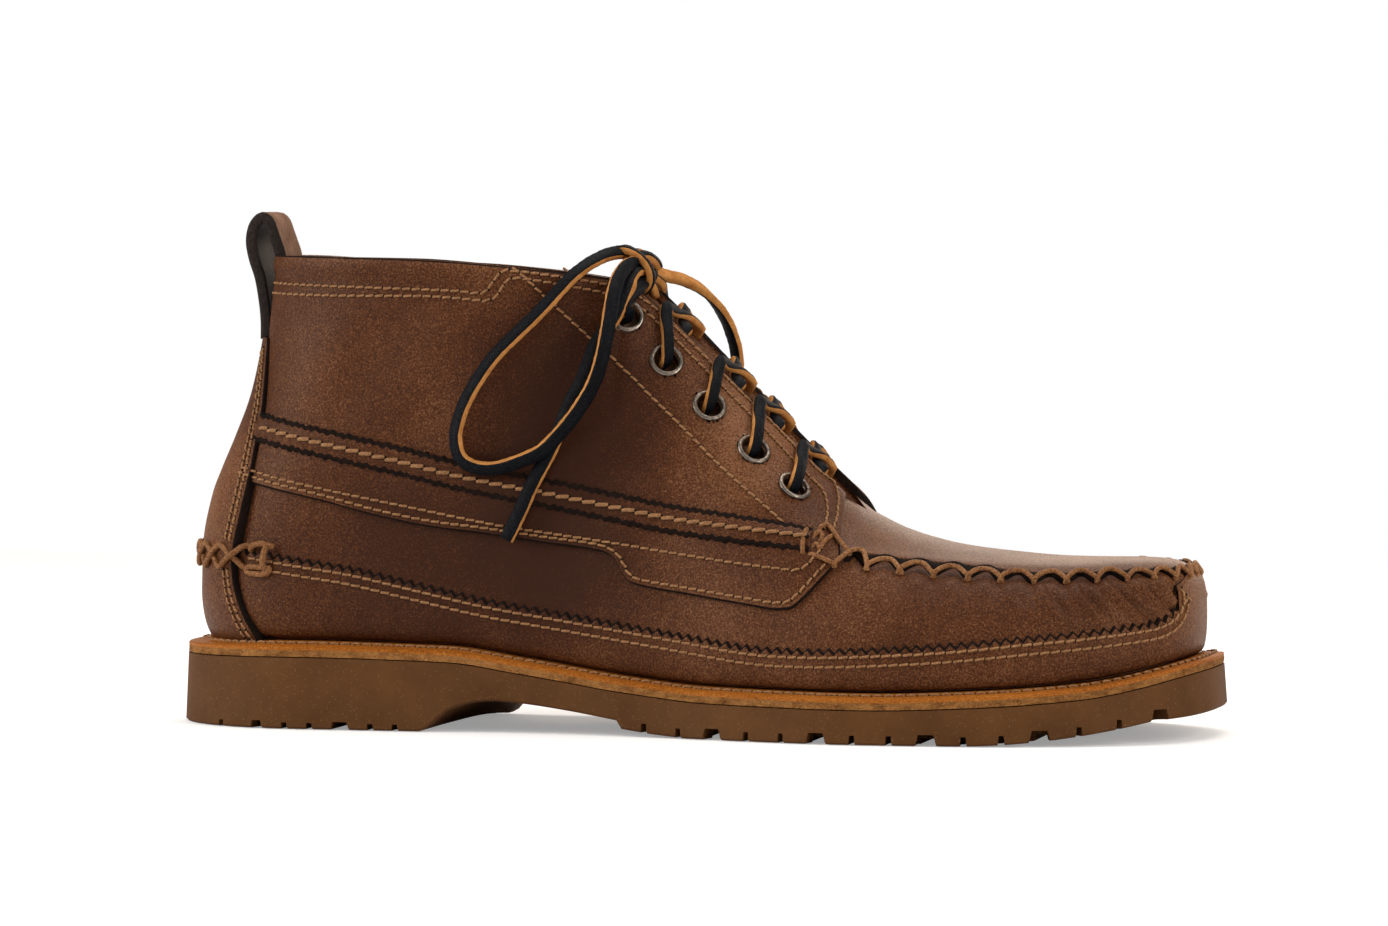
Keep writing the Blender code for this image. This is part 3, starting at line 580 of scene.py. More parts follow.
def buildPullUp():
    # oiled leather: pale where it is stretched or rubbed, with patches of painted shade and painted light
    # laid on
    tree, start, end = makeGroup("pullUp", [
        ("Vector", "Vector", None), ("Mottle", "Float", 0.5), ("Wear", "Float", 0.0),
        ("Dark", "Color", (0.04, 0.015, 0.008, 1.0)), ("Body", "Color", (0.12, 0.05, 0.025, 1.0)),
        ("Pale", "Color", (0.3, 0.17, 0.1, 1.0)), ("PaintedLightAndShade", "Float", 0.0),
    ], [("Color", "Color"), ("Dull", "Float")])
    pore = noise(tree, start.outputs["Vector"], 1900.0, 3.0, 0.75)
    # each patch of painted shade or painted light darkens or lightens the colour round a point, standing in
    # for the shade and light that the lamps give there
    paintedLightAndShade = 0.0
    for centre, reach, amount in paintedLightAndShadeZones:
        away = vectorCalc(tree, "SUBTRACT", {0: start.outputs["Vector"], 1: centre})
        away = vectorCalc(tree, "MULTIPLY", {0: away, 1: reach})
        away = vectorCalc(tree, "LENGTH", {0: away}, "Value")
        paintedLightAndShade = calc(tree, "MULTIPLY_ADD", levelsOf(tree, away, 1.0, 0.1), amount, paintedLightAndShade)
    tone = calc(tree, "ADD", calc(tree, "MULTIPLY_ADD", start.outputs["Mottle"], 0.5, 0.25),
                calc(tree, "MULTIPLY", start.outputs["Wear"], 0.9))
    tone = calc(tree, "ADD", tone, calc(tree, "MULTIPLY_ADD", pore, 3.2, -1.66))
    tone = calc(tree, "MULTIPLY_ADD", start.outputs["PaintedLightAndShade"], paintedLightAndShade, tone)
    body = blendColors(tree, levelsOf(tree, tone, 0.0, 0.55), start.outputs["Dark"], start.outputs["Body"])
    color = blendColors(tree, levelsOf(tree, tone, 0.55, 1.35), body, start.outputs["Pale"])
    giveOut(tree, end, {"Color": color, "Dull": levelsOf(tree, tone, 0.0, 1.3)})
    return tree


def buildFibre():
    tree, start, end = makeGroup("cutFibre", [
        ("Vector", "Vector", None), ("Stretch", "Vector", (1.0, 1.0, 2.5)), ("Scale", "Float", 900.0),
    ], [("Height", "Float"), ("Tone", "Float")])
    stretched = vectorCalc(tree, "MULTIPLY", {0: start.outputs["Vector"], 1: start.outputs["Stretch"]})
    scaled = vectorCalc(tree, "SCALE", {0: stretched, "Scale": start.outputs["Scale"]})
    hairs = noise(tree, scaled, 1.0, 4.0, 0.7, 1.2)
    clumps = noise(tree, scaled, 0.18, 3.0, 0.6)
    tone = calc(tree, "MULTIPLY_ADD", clumps, 0.9, calc(tree, "MULTIPLY", hairs, 0.9))
    giveOut(tree, end, {
        "Height": calc(tree, "MULTIPLY_ADD", clumps, 1.4, hairs), "Tone": levelsOf(tree, tone, 0.6, 1.15),
    })
    return tree


def buildSpeckle():
    tree, start, end = makeGroup("speckle", [
        ("Vector", "Vector", None), ("Scale", "Float", 700.0), ("Share", "Float", 0.3),
    ], [("Specks", "Float"), ("Cloud", "Float"), ("Height", "Float")])
    cells = put(tree, "ShaderNodeTexVoronoi", {
        "Vector": start.outputs["Vector"], "Scale": start.outputs["Scale"],
    })
    near = levelsOf(tree, cells.outputs["Distance"], 0.34, 0.12)
    chance = put(tree, "ShaderNodeSeparateColor", {"Color": cells.outputs["Color"]}).outputs[0]
    chosen = calc(tree, "LESS_THAN", chance, start.outputs["Share"])
    giveOut(tree, end, {
        "Specks": calc(tree, "MULTIPLY", near, chosen),
        "Cloud": levelsOf(tree, noise(tree, start.outputs["Vector"], 55.0, 4.0, 0.6), 0.3, 0.7),
        "Height": noise(tree, start.outputs["Vector"], 1900.0, 3.0, 0.6),
    })
    return tree


groups = {
    "grain": buildGrain(), "pullUp": buildPullUp(), "fibre": buildFibre(), "speckle": buildSpeckle(),
}


def newMaterial(name, roughness, metallic=0.0, specular=0.5):
    material = bpy.data.materials.new(name)
    material.use_nodes = True
    tree = material.node_tree
    shader = tree.nodes["Principled BSDF"]
    shader.inputs["Roughness"].default_value = roughness
    shader.inputs["Metallic"].default_value = metallic
    shader.inputs["Specular IOR Level"].default_value = specular
    shader.inputs["Specular Tint"].default_value = (1.0, 0.86, 0.74, 1.0)
    where = tree.nodes.new("ShaderNodeTexCoord").outputs["Object"]
    return material, tree, shader, where


def useGroup(tree, key, links):
    return put(tree, "ShaderNodeGroup", links, node_tree=groups[key])


def addBump(tree, shader, height, depth):
    node = put(tree, "ShaderNodeBump", {"Height": height, "Distance": depth * mm, "Strength": 1.0})
    tree.links.new(node.outputs["Normal"], shader.inputs["Normal"])


def makeLeather(name, dark, body, pale, roughness=(0.5, 0.38), grain=0.16, pebble=1500.0, crease=0.25,
                specular=0.15, paintedLightAndShade=0.0):
    material, tree, shader, where = newMaterial(name, 0.45, specular=specular)
    wear = put(tree, "ShaderNodeAttribute", attribute_name="wear").outputs["Fac"]
    skin = useGroup(tree, "grain", {"Vector": where, "Pebble": pebble, "Crease": crease})
    look = useGroup(tree, "pullUp", {
        "Vector": where, "Mottle": skin.outputs["Mottle"], "Wear": wear, "PaintedLightAndShade": paintedLightAndShade,
        "Dark": (*dark, 1.0), "Body": (*body, 1.0), "Pale": (*pale, 1.0),
    })
    dull = levelsOf(tree, look.outputs["Dull"], newLow=roughness[0], newHigh=roughness[1])
    giveOut(tree, shader, {"Base Color": look.outputs["Color"], "Roughness": dull})
    addBump(tree, shader, skin.outputs["Height"], grain)
    return material


def makeFibrous(name, low, high, scale, stretch, roughness=0.85, depth=0.3):
    material, tree, shader, where = newMaterial(name, roughness, specular=0.12)
    cut = useGroup(tree, "fibre", {"Vector": where, "Scale": scale, "Stretch": stretch})
    color = blendColors(tree, cut.outputs["Tone"], (*low, 1.0), (*high, 1.0))
    tree.links.new(color, shader.inputs["Base Color"])
    addBump(tree, shader, cut.outputs["Height"], depth)
    return material


def makeRubber():
    material, tree, shader, where = newMaterial("gumRubber", 0.6, specular=0.12)
    dust = useGroup(tree, "speckle", {"Vector": where, "Scale": 1250.0, "Share": 0.3})
    color = blendColors(tree, dust.outputs["Cloud"], (0.076, 0.030, 0.0085, 1.0), (0.112, 0.047, 0.015, 1.0))
    color = blendColors(tree, dust.outputs["Specks"], color, (0.15, 0.075, 0.032, 1.0))
    tree.links.new(color, shader.inputs["Base Color"])
    addBump(tree, shader, dust.outputs["Height"], 0.12)
    return material


def makeMetal():
    material, tree, shader, where = newMaterial("antiqueMetal", 0.32, 1.0)
    patina = levelsOf(tree, noise(tree, where, 700.0, 4.0, 0.6), 0.35, 0.7)
    color = blendColors(tree, patina, (0.25, 0.215, 0.18, 1.0), (0.075, 0.058, 0.048, 1.0))
    rough = levelsOf(tree, patina, newLow=0.26, newHigh=0.5)
    giveOut(tree, shader, {"Base Color": color, "Roughness": rough})
    addBump(tree, shader, noise(tree, where, 1500.0, 3.0), 0.05)
    return material


def makeThread(name, low, high):
    material, tree, shader, where = newMaterial(name, 0.65, specular=0.3)
    twist = noise(tree, where, 2200.0, 2.0, 0.6)
    color = blendColors(tree, levelsOf(tree, twist, 0.35, 0.65), (*low, 1.0), (*high, 1.0))
    tree.links.new(color, shader.inputs["Base Color"])
    addBump(tree, shader, twist, 0.1)
    return material


materials = {
    # this leather takes the patches of painted shade and painted light at full strength
    "leather": makeLeather("oiledLeather", (0.031, 0.0085, 0.0030), (0.084, 0.0262, 0.0078),
        (0.25, 0.112, 0.05),
                           paintedLightAndShade=1.0),
    # the plug's leather is painted lighter than the other leather, as painted light on the toe's top; the
    # tongue shares it
    "plug": makeLeather("plugLeatherPaintedLight", (0.036, 0.010, 0.0032), (0.118, 0.041, 0.013), (0.29, 0.135, 0.062),
                        roughness=(0.42, 0.32), specular=0.22),
    "rawEdge": makeFibrous("rawEdge", (0.003, 0.002, 0.0017), (0.013, 0.0065, 0.0048),
        1100.0, (1.0, 1.0, 1.0)),
    "lining": makeFibrous("lining", (0.24, 0.135, 0.08), (0.34, 0.21, 0.135), 700.0, (1.0, 1.0, 1.0),
        depth=0.12),
    # near-black for the strap's dyed edges, and as painted shade on the inside of the loop
    "strap": makeLeather("strapDarkEdgesAndPaintedShade", (0.007, 0.005, 0.0045), (0.014, 0.010, 0.009), (0.04, 0.027, 0.023),
                         roughness=(0.6, 0.5)),
    "strapFace": makeFibrous("strapFace", (0.13, 0.062, 0.036), (0.25, 0.145, 0.095), 900.0, (1.0, 1.0, 1.0),
                             depth=0.12),
    "thong": makeLeather("thong", (0.10, 0.038, 0.013), (0.25, 0.11, 0.042), (0.42, 0.23, 0.105), grain=0.08,
                         roughness=(0.6, 0.5)),
    "thread": makeThread("thread", (0.15, 0.066, 0.025), (0.36, 0.185, 0.08)),
    # near-black beads, painted as the shade inside each needle hole
    "hole": makeFibrous("needleHolePaintedShade", (0.004, 0.0025, 0.002), (0.012, 0.006, 0.004), 1500.0, (1.0, 1.0, 1.0)),
    "laceFace": makeLeather("laceFace", (0.0015, 0.002, 0.003), (0.0035, 0.005, 0.0075), (0.015, 0.02, 0.026),
                            roughness=(0.62, 0.52), grain=0.12, pebble=2200.0, specular=0.08),
    "laceEdge": makeFibrous("laceEdge", (0.30, 0.11, 0.024), (0.58, 0.27, 0.08), 1300.0, (1.0, 1.0, 1.0),
                            depth=0.15),
    "midsole": makeFibrous("midsoleCut", (0.11, 0.037, 0.008), (0.52, 0.235, 0.07), 1900.0, (0.7, 0.7, 1.2),
                           depth=1.0),
    "ledge": makeLeather("ledgeLeather", (0.17, 0.045, 0.004), (0.35, 0.105, 0.010), (0.50, 0.22, 0.05),
                         roughness=(0.6, 0.45), grain=0.1),
    "rubber": makeRubber(),
    "metal": makeMetal(),
}
print("materials ready")


# Geometry node trees

def makeTree(name, inputs):
    tree = bpy.data.node_groups.new(name, "GeometryNodeTree")
    tree.interface.new_socket("Geometry", in_out="INPUT", socket_type="NodeSocketGeometry")
    for label, kind, value in inputs:
        socket = tree.interface.new_socket(label, in_out="INPUT", socket_type="NodeSocket" + kind)
        if value is not None:
            socket.default_value = value
    tree.interface.new_socket("Geometry", in_out="OUTPUT", socket_type="NodeSocketGeometry")
    return tree, tree.nodes.new("NodeGroupInput"), tree.nodes.new("NodeGroupOutput")


def geo(tree, kind, links=None, **settings):
    # adds a geometry node and gives its first output
    return put(tree, "GeometryNode" + kind, links, **settings).outputs[0]


def vectorOf(tree, **axes):
    return put(tree, "ShaderNodeCombineXYZ", axes).outputs[0]


def joined(tree, *pieces):
    node = tree.nodes.new("GeometryNodeJoinGeometry")
    for piece in pieces:
        tree.links.new(piece, node.inputs[0])
    return node.outputs[0]


def smooth(tree, geometry):
    return geo(tree, "SetShadeSmooth", {"Geometry": geometry})


def dressed(tree, geometry, material):
    real = geo(tree, "RealizeInstances", {"Geometry": geometry})
    return geo(tree, "SetMaterial", {"Geometry": real, "Material": material})


def named(tree, name):
    node = put(tree, "GeometryNodeInputNamedAttribute", {"Name": name}, data_type="FLOAT_VECTOR")
    return node.outputs["Attribute"]


def grow(name, lines, tree, values):
    # runs a tree over guide lines of points and outward directions, and keeps a plain mesh
    mesh = bpy.data.meshes.new(name + "Guide")
    points, edges, outward = [], [], []
    for line, normals in lines:
        start = len(points)
        points.extend(toWorld(line).tolist())
        outward.extend(np.asarray(normals, float).tolist())
        edges.extend((start + k, start + k + 1) for k in range(len(line) - 1))
    mesh.from_pydata(points, edges, [])
    layer = mesh.attributes.new("outward", "FLOAT_VECTOR", "POINT")
    layer.data.foreach_set("vector", np.asarray(outward, np.float32).ravel())
    guide = addThing(name + "Guide", mesh)
    modifier = guide.modifiers.new("grow", "NODES")
    modifier.node_group = tree
    for item in tree.interface.items_tree:
        if item.item_type == "SOCKET" and item.in_out == "INPUT" and item.name in values:
            modifier[item.identifier] = values[item.name]
    depsgraph = bpy.context.evaluated_depsgraph_get()
    grown = bpy.data.meshes.new_from_object(guide.evaluated_get(depsgraph))
    bpy.data.objects.remove(guide)
    grown.name = name
    return addThing(name, grown)


def buildStitchTree():
    # small arched stitches along each guide line, with a dark bead between each two that paints the shade in
    # a needle hole
    tree, start, end = makeTree("stitchRow", [
        ("Pitch", "Float", 0.003), ("Length", "Float", 0.0024), ("Width", "Float", 0.0008),
        ("Height", "Float", 0.0005), ("Tilt", "Float", 0.15), ("HoleSize", "Float", 0.0005),
        ("Thread", "Material", None), ("Hole", "Material", None),
    ])
    given = start.outputs
    curve = geo(tree, "MeshToCurve", {"Mesh": given["Geometry"]})
    even = geo(tree, "ResampleCurve", {"Curve": curve, "Length": given["Pitch"]}, mode="LENGTH")
    places = geo(tree, "StoreNamedAttribute", {
        "Geometry": even, "Name": "along", "Value": geo(tree, "InputTangent"),
    }, data_type="FLOAT_VECTOR", domain="POINT")
    # one stitch, lying along X
    half = calc(tree, "MULTIPLY", given["Length"], 0.5)
    left, right = vectorOf(tree, X=calc(tree, "MULTIPLY", half, -1.0)), vectorOf(tree, X=half)
    line = geo(tree, "CurvePrimitiveLine", {"Start": left, "End": right})
    line = geo(tree, "ResampleCurve", {"Curve": line, "Count": 6}, mode="COUNT")
    factor = put(tree, "GeometryNodeSplineParameter").outputs["Factor"]
    swing = calc(tree, "MULTIPLY_ADD", factor, 2.0, -1.0)
    square = calc(tree, "MULTIPLY", swing, swing)
    rise = calc(tree, "MULTIPLY", calc(tree, "SUBTRACT", 0.75, square), given["Height"])
    line = geo(tree, "SetPosition", {"Geometry": line, "Offset": vectorOf(tree, Z=rise)})
    thick = calc(tree, "SUBTRACT", 1.08, calc(tree, "MULTIPLY", square, square))
    thick = calc(tree, "SQRT", calc(tree, "MAXIMUM", thick, 0.0))
    line = geo(tree, "SetCurveRadius", {"Curve": line, "Radius": thick})
    ring = geo(tree, "CurvePrimitiveCircle", {
        "Resolution": 6, "Radius": calc(tree, "MULTIPLY", given["Width"], 0.5),
    })
    stitch = geo(tree, "CurveToMesh", {"Curve": line, "Profile Curve": ring, "Fill Caps": True})
    turn = put(tree, "FunctionNodeAxesToRotation", {
        "Primary Axis": named(tree, "outward"), "Secondary Axis": named(tree, "along"),
    }, primary_axis="Z", secondary_axis="X").outputs[0]
    lean = put(tree, "FunctionNodeRotateRotation", {
        "Rotation": turn, "Rotate By": vectorOf(tree, Z=given["Tilt"]),
    }, rotation_space="LOCAL").outputs[0]
    stitches = geo(tree, "InstanceOnPoints", {
        "Points": places, "Instance": smooth(tree, stitch), "Rotation": lean,
    })
    stitches = dressed(tree, stitches, given["Thread"])
    # the dark beads of painted hole shade sit half a pitch further on
    step = vectorCalc(tree, "SCALE", {
        0: named(tree, "along"), "Scale": calc(tree, "MULTIPLY", given["Pitch"], 0.5),
    })
    between = geo(tree, "SetPosition", {"Geometry": places, "Offset": step})
    bead = geo(tree, "MeshIcoSphere", {"Radius": given["HoleSize"], "Subdivisions": 1})
    holes = geo(tree, "InstanceOnPoints", {
        "Points": between, "Instance": smooth(tree, bead), "Rotation": turn, "Scale": (1.2, 0.95, 0.45),
    })
    holes = dressed(tree, holes, given["Hole"])
    giveOut(tree, end, {0: joined(tree, stitches, holes)})
    return tree


def buildEyeletTree():
    # a turned ring and its barrel on each point, from short profiles
    tree, start, end = makeTree("eyeletRow", [
        ("Outer", "Float", 0.0048), ("Inner", "Float", 0.0034), ("Rise", "Float", 0.0012),
        ("Barrel", "Float", 0.0024), ("Metal", "Material", None),
    ])
    given = start.outputs

    def circle(count, radius):
        return geo(tree, "CurvePrimitiveCircle", {"Resolution": count, "Radius": radius})

    half = calc(tree, "MULTIPLY", calc(tree, "SUBTRACT", given["Outer"], given["Inner"]), 0.5)
    middle = calc(tree, "MULTIPLY", calc(tree, "ADD", given["Outer"], given["Inner"]), 0.5)
    roll = geo(tree, "CurveToMesh", {"Curve": circle(40, middle), "Profile Curve": circle(12, half)})
    flat = vectorOf(tree, X=1.0, Y=1.0, Z=calc(tree, "DIVIDE", given["Rise"], half))
    squashed = geo(tree, "Transform", {"Geometry": roll, "Scale": flat})
    wall = geo(tree, "CurvePrimitiveQuadrilateral", {"Width": 0.0003, "Height": given["Barrel"]})
    barrel = geo(tree, "CurveToMesh", {
        "Curve": circle(40, calc(tree, "ADD", given["Inner"], 0.0001)), "Profile Curve": wall,
    })
    down = vectorOf(tree, Z=calc(tree, "MULTIPLY", given["Barrel"], -0.5))
    lowered = geo(tree, "Transform", {"Geometry": barrel, "Translation": down})
    turn = put(tree, "FunctionNodeAlignRotationToVector", {"Vector": named(tree, "outward")}, axis="Z")
    rings = geo(tree, "InstanceOnPoints", {
        "Points": given["Geometry"], "Instance": joined(tree, squashed, lowered), "Rotation": turn.outputs[0],
    })
    giveOut(tree, end, {0: dressed(tree, smooth(tree, rings), given["Metal"])})
    return tree


def buildCordTree():
    # a round cord along each guide line
    tree, start, end = makeTree("roundCord", [
        ("Radius", "Float", 0.0007), ("Sides", "Int", 8), ("Leather", "Material", None),
    ])
    given = start.outputs
    curve = geo(tree, "MeshToCurve", {"Mesh": given["Geometry"]})
    ring = geo(tree, "CurvePrimitiveCircle", {"Resolution": given["Sides"], "Radius": given["Radius"]})
    tube = geo(tree, "CurveToMesh", {"Curve": curve, "Profile Curve": ring, "Fill Caps": True})
    giveOut(tree, end, {0: dressed(tree, smooth(tree, tube), given["Leather"])})
    return tree


stitchTree = buildStitchTree()
eyeletTree = buildEyeletTree()
cordTree = buildCordTree()
print("node trees ready")


# Laces

lace = {"width": 3.9, "thick": 2.4, "corner": 0.45, "step": 1.2, "tilt": 0.85, "wobble": 0.05}
bow = {
    "loop_lateral": [
        (130.3, -6.9, 135.6), (128.5, -12.4, 135.3), (126.0, -18.1, 134.0), (122.9, -23.6, 131.5),
        (119.7, -28.4, 128.0), (114.3, -32.4, 121.3), (110.5, -34.0, 117.1), (106.3, -34.9, 113.0),
        (99.8, -35.9, 106.4), (94.4, -36.4, 98.8), (90.7, -36.3, 92.0), (88.6, -36.1, 85.0),
        (88.8, -36.0, 80.4), (90.2, -35.9, 77.3), (93.1, -35.8, 75.4), (97.3, -35.8, 74.6),
        (101.3, -35.9, 75.0), (105.6, -36.1, 76.3), (110.2, -36.3, 78.1), (114.0, -36.6, 80.1),
        (119.1, -37.0, 85.0), (124.0, -37.3, 90.9), (128.4, -37.1, 98.0), (130.8, -36.2, 105.2),
        (132.0, -33.8, 113.7), (132.3, -30.2, 120.9), (132.4, -27.8, 124.4), (132.6, -24.1, 127.9),
        (133.2, -19.9, 130.6), (134.0, -14.9, 132.2), (134.6, -6.9, 132.4),
    ],
    "end_lateral": [
        (135.6, -6.9, 130.8), (135.1, -12.7, 130.2), (134.7, -17.1, 128.2), (134.4, -21.0, 125.2),
        (133.6, -23.8, 121.6), (132.4, -26.1, 117.7), (130.4, -27.9, 114.3), (127.6, -29.6, 109.6),
        (126.1, -30.6, 105.1), (123.6, -31.9, 98.3), (121.1, -32.6, 93.6), (119.2, -33.1, 88.8),
        (117.0, -33.4, 83.4), (114.9, -33.8, 78.8), (110.3, -34.5, 70.1), (107.0, -34.8, 62.7),
        (103.0, -35.1, 54.7),
    ],
    "loop_medial": [
        (134.1, 6.9, 130.6), (136.8, 10.2, 129.2), (139.7, 13.2, 128.3), (142.5, 16.1, 127.4),
        (145.6, 19.5, 125.5), (148.1, 22.7, 123.1), (150.5, 26.5, 119.3), (152.1, 30.1, 115.2),
        (153.3, 32.8, 110.5), (153.9, 35.1, 105.5), (153.5, 36.9, 99.9), (151.2, 38.0, 93.5),
        (146.9, 38.5, 86.4), (141.5, 38.4, 81.1), (134.0, 37.2, 78.5), (126.6, 35.8, 81.4),
        (122.6, 34.9, 88.7), (121.9, 34.2, 97.5), (124.2, 32.4, 106.9), (127.1, 29.2, 115.1),
        (129.8, 24.4, 122.6), (131.8, 17.6, 128.0), (134.4, 10.6, 130.2), (134.6, 6.9, 130.2),
    ],
    "end_medial": [
        (131.7, 6.9, 130.8), (130.3, 14.6, 130.2), (129.0, 20.6, 127.6), (126.0, 26.5, 121.0),
        (121.7, 29.9, 111.2), (117.1, 31.7, 100.7), (113.5, 32.7, 88.7), (110.7, 33.1, 76.7),
        (108.5, 33.3, 65.0),
    ],
}


def smoothed(values, turns):
    for _ in range(turns):
        middle = (values[:-2] + 2.0 * values[1:-1] + values[2:]) / 4.0
        values = np.vstack([values[:1], middle, values[-1:]])
    return values


def stripBody(path, face, width, thick, corner, wobble):
    # a flat strip along a path, its grain side turned to face; returns points, faces and grain flags
    tangent = unit(np.gradient(path, axis=0))

    def square(face):
        return unit(face - tangent * np.sum(face * tangent, axis=1, keepdims=True))

    face = square(unit(smoothed(square(face), 4)))
    across = np.cross(tangent, face)
    w, t, c = width / 2.0, thick / 2.0, corner
    section = [
        (-w, t - c), (-w + c, t), (0.0, t + 0.12), (w - c, t), (w, t - c),
        (w, -t + c), (w - c, -t), (0.0, -t), (-w + c, -t), (-w, -t + c),
    ]
    run = lengths(path)
    points = []
    for k, (b, n) in enumerate(section):
        shake = 1.0 + wobble * np.sin(run * 0.9 + k * 1.7) * 0.5 + wobble * np.sin(run * 2.3 + k * 0.6) * 0.5
        points.append(path + across * (b * shake)[:, None] + face * (n * shake)[:, None])
    points = np.stack(points, axis=1)
    rows, columns = points.shape[:2]
    flat = points.reshape(-1, 3)
    walls = gridFaces(rows, columns, 0, wrap=True)
    grain = [k % columns < 4 for k in range(len(walls))] + [False, False]
    ends = [tuple(range(columns))[::-1], tuple((rows - 1) * columns + k for k in range(columns))]
    faces = [tuple(f) for f in walls] + ends
    return flat, faces if outwards(flat, walls) else [f[::-1] for f in faces], grain


def joinBodies(bodies):
    points, faces, flags, start = [], [], [], 0
    for body in bodies:
        points.append(body[0])
        faces += [tuple(int(k) + start for k in f) for f in body[1]]
        flags += list(body[2])
        start += len(body[0])
    return np.vstack(points), faces, flags


def addLace(name, bodies):
    points, faces, grain = joinBodies(bodies)
    slots = [materials["laceFace"], materials["laceEdge"]]
    return addObject(name, points, faces, slots, [0 if g else 1 for g in grain])


def bowFace(path, side, bend, start):
    # the grain turns outward round a bend, and towards one side; near the knot it starts turned otherwise
    tangent = unit(np.gradient(path, axis=0))
    around = np.stack([tangent[:, 2], np.zeros(len(path)), -tangent[:, 0]], axis=1)
    turn = mix(start, side, ease(0.02, 0.3, lengths(path) / lengths(path)[-1])) * lace["tilt"]
    return around * bend + turn[:, None] * np.array([0.0, 1.0, 0.0])


def laceStrip(points, face, scale=1.0):
    path = spline(points, lace["step"])
    face = face(path) if callable(face) else spread(face, lengths(path) / lengths(path)[-1])
    width, thick = lace["width"] * scale, lace["thick"] * scale
    return path, stripBody(path, face, width, thick, lace["corner"], lace["wobble"])


def makeBow():
    # which side the grain faces, how far it turns with the bend, and the side it faces at the knot
    towards = {"loop_lateral": (-1.0, 0.58, -1.0), "end_lateral": (-1.0, 0.2, -1.0),
               "loop_medial": (-1.0, 0.58, 0.5), "end_medial": (1.0, 0.58, 1.0)}
    for key, points in bow.items():
        path, body = laceStrip(points, lambda p, turns=towards[key]: bowFace(p, *turns))
        thing = addLace("bow_" + key, [body])
        finish(thing, "lace", "lace_" + key)
        lengths(path)[-1] * mm


knot = [
    # each strand's way, and how its grain side turns: the wrap, the strands under it and the tucked ends
    ([(128.6, -7.2, 135.4), (130.4, -8.2, 136.4), (133.0, -9.2, 135.8), (135.7, -9.4, 134.1),
      (137.7, -9.3, 131.8), (138.7, -9.1, 129.1), (138.3, -8.4, 126.6), (136.6, -6.6, 124.8),
      (133.8, -4.0, 123.9)],
     [(-0.5, -0.2, 0.8), (-0.1, -0.05, 0.97), (0.3, 0.06, 0.92), (0.65, 0.1, 0.72), (0.87, 0.1, 0.42),
      (0.97, 0.1, 0.0), (0.9, 0.05, -0.4), (0.6, -0.1, -0.7), (0.3, 0.0, -0.9)]),
    ([(130.6, -6.4, 133.6), (133.2, -6.6, 133.8), (135.4, -5.8, 132.0), (136.2, -4.0, 129.0),
      (135.2, -1.0, 127.4)],
     [(-0.2, -0.8, 0.5), (0.3, -0.8, 0.5), (0.7, -0.6, 0.2)]),
    ([(133.4, -7.0, 130.8), (135.4, -6.8, 130.0), (136.6, -5.2, 128.0), (136.0, -2.6, 126.6)],
     [(0.1, -0.9, 0.3), (0.5, -0.8, 0.1), (0.8, -0.5, -0.1)]),
    ([(133.6, -4.6, 134.0), (135.2, -2.0, 134.6), (136.8, 0.8, 133.6), (138.0, 3.2, 131.7)],
     [(0.0, -0.3, 1.0), (0.3, -0.3, 0.9), (0.6, -0.3, 0.7)]),
    ([(131.0, 6.9, 132.4), (133.8, 6.2, 133.0), (136.0, 4.2, 131.4), (136.4, 1.6, 128.6),
      (134.8, -1.0, 127.0)],
     [(0.0, 0.6, 0.8), (0.5, 0.5, 0.6), (0.9, 0.3, 0.1)]),
    ([(133.4, 7.4, 130.4), (134.8, 4.8, 130.2), (135.4, 2.0, 129.0), (134.4, -1.0, 127.4)],
     [(0.2, 0.8, 0.4), (0.5, 0.6, 0.4), (0.8, 0.4, 0.1)]),
    ([(130.6, -4.0, 131.8), (130.8, -1.4, 134.4), (132.0, 1.4, 135.0), (132.4, 4.6, 133.4),
      (131.8, 6.9, 131.0)],
     [(-0.6, 0.0, 0.7), (-0.3, 0.0, 1.0), (-0.6, 0.3, 0.7)]),
    ([(137.6, -6.6, 127.2), (138.6, -6.2, 125.2), (139.0, -5.2, 123.2)],
     [(0.8, 0.5, 0.3), (0.8, 0.5, 0.3)]),
]


def makeKnot():
    bodies = [laceStrip(points, face)[1] for points, face in knot]
    thing = addLace("bowKnot", bodies)
    return finish(thing, "lace", "lace_knot")


bowKnot = makeKnot()
makeBow()
print("bow tied")


# Sole

def soleRing(stations, inset, height):
    # points round the outline: out along one side and back along the other
    points = []
    for side, run in ((-1, stations), (1, stations[::-1])):
        x, y = outline(side, run, inset(run) if callable(inset) else inset)
        z = height(x)
        x = x - 1.3 * ease(45.0, 0.0, x) - 0.8 * ease(278.0, 302.0, x)
        points.append(np.stack([x, y, z], axis=1))
    return np.vstack(points)


def longerInside(ring, count, share):
    # the heel reaches further forward on the inner side
    x = ring[count:, 0]
    shift = farSide["heelLonger"] * ease(74.0, 84.0, x) * ease(134.0, 112.0, x)
    ring[count:, 2] += (underHeight(x - shift) - underHeight(x)) * (1.0 - share)
    return ring


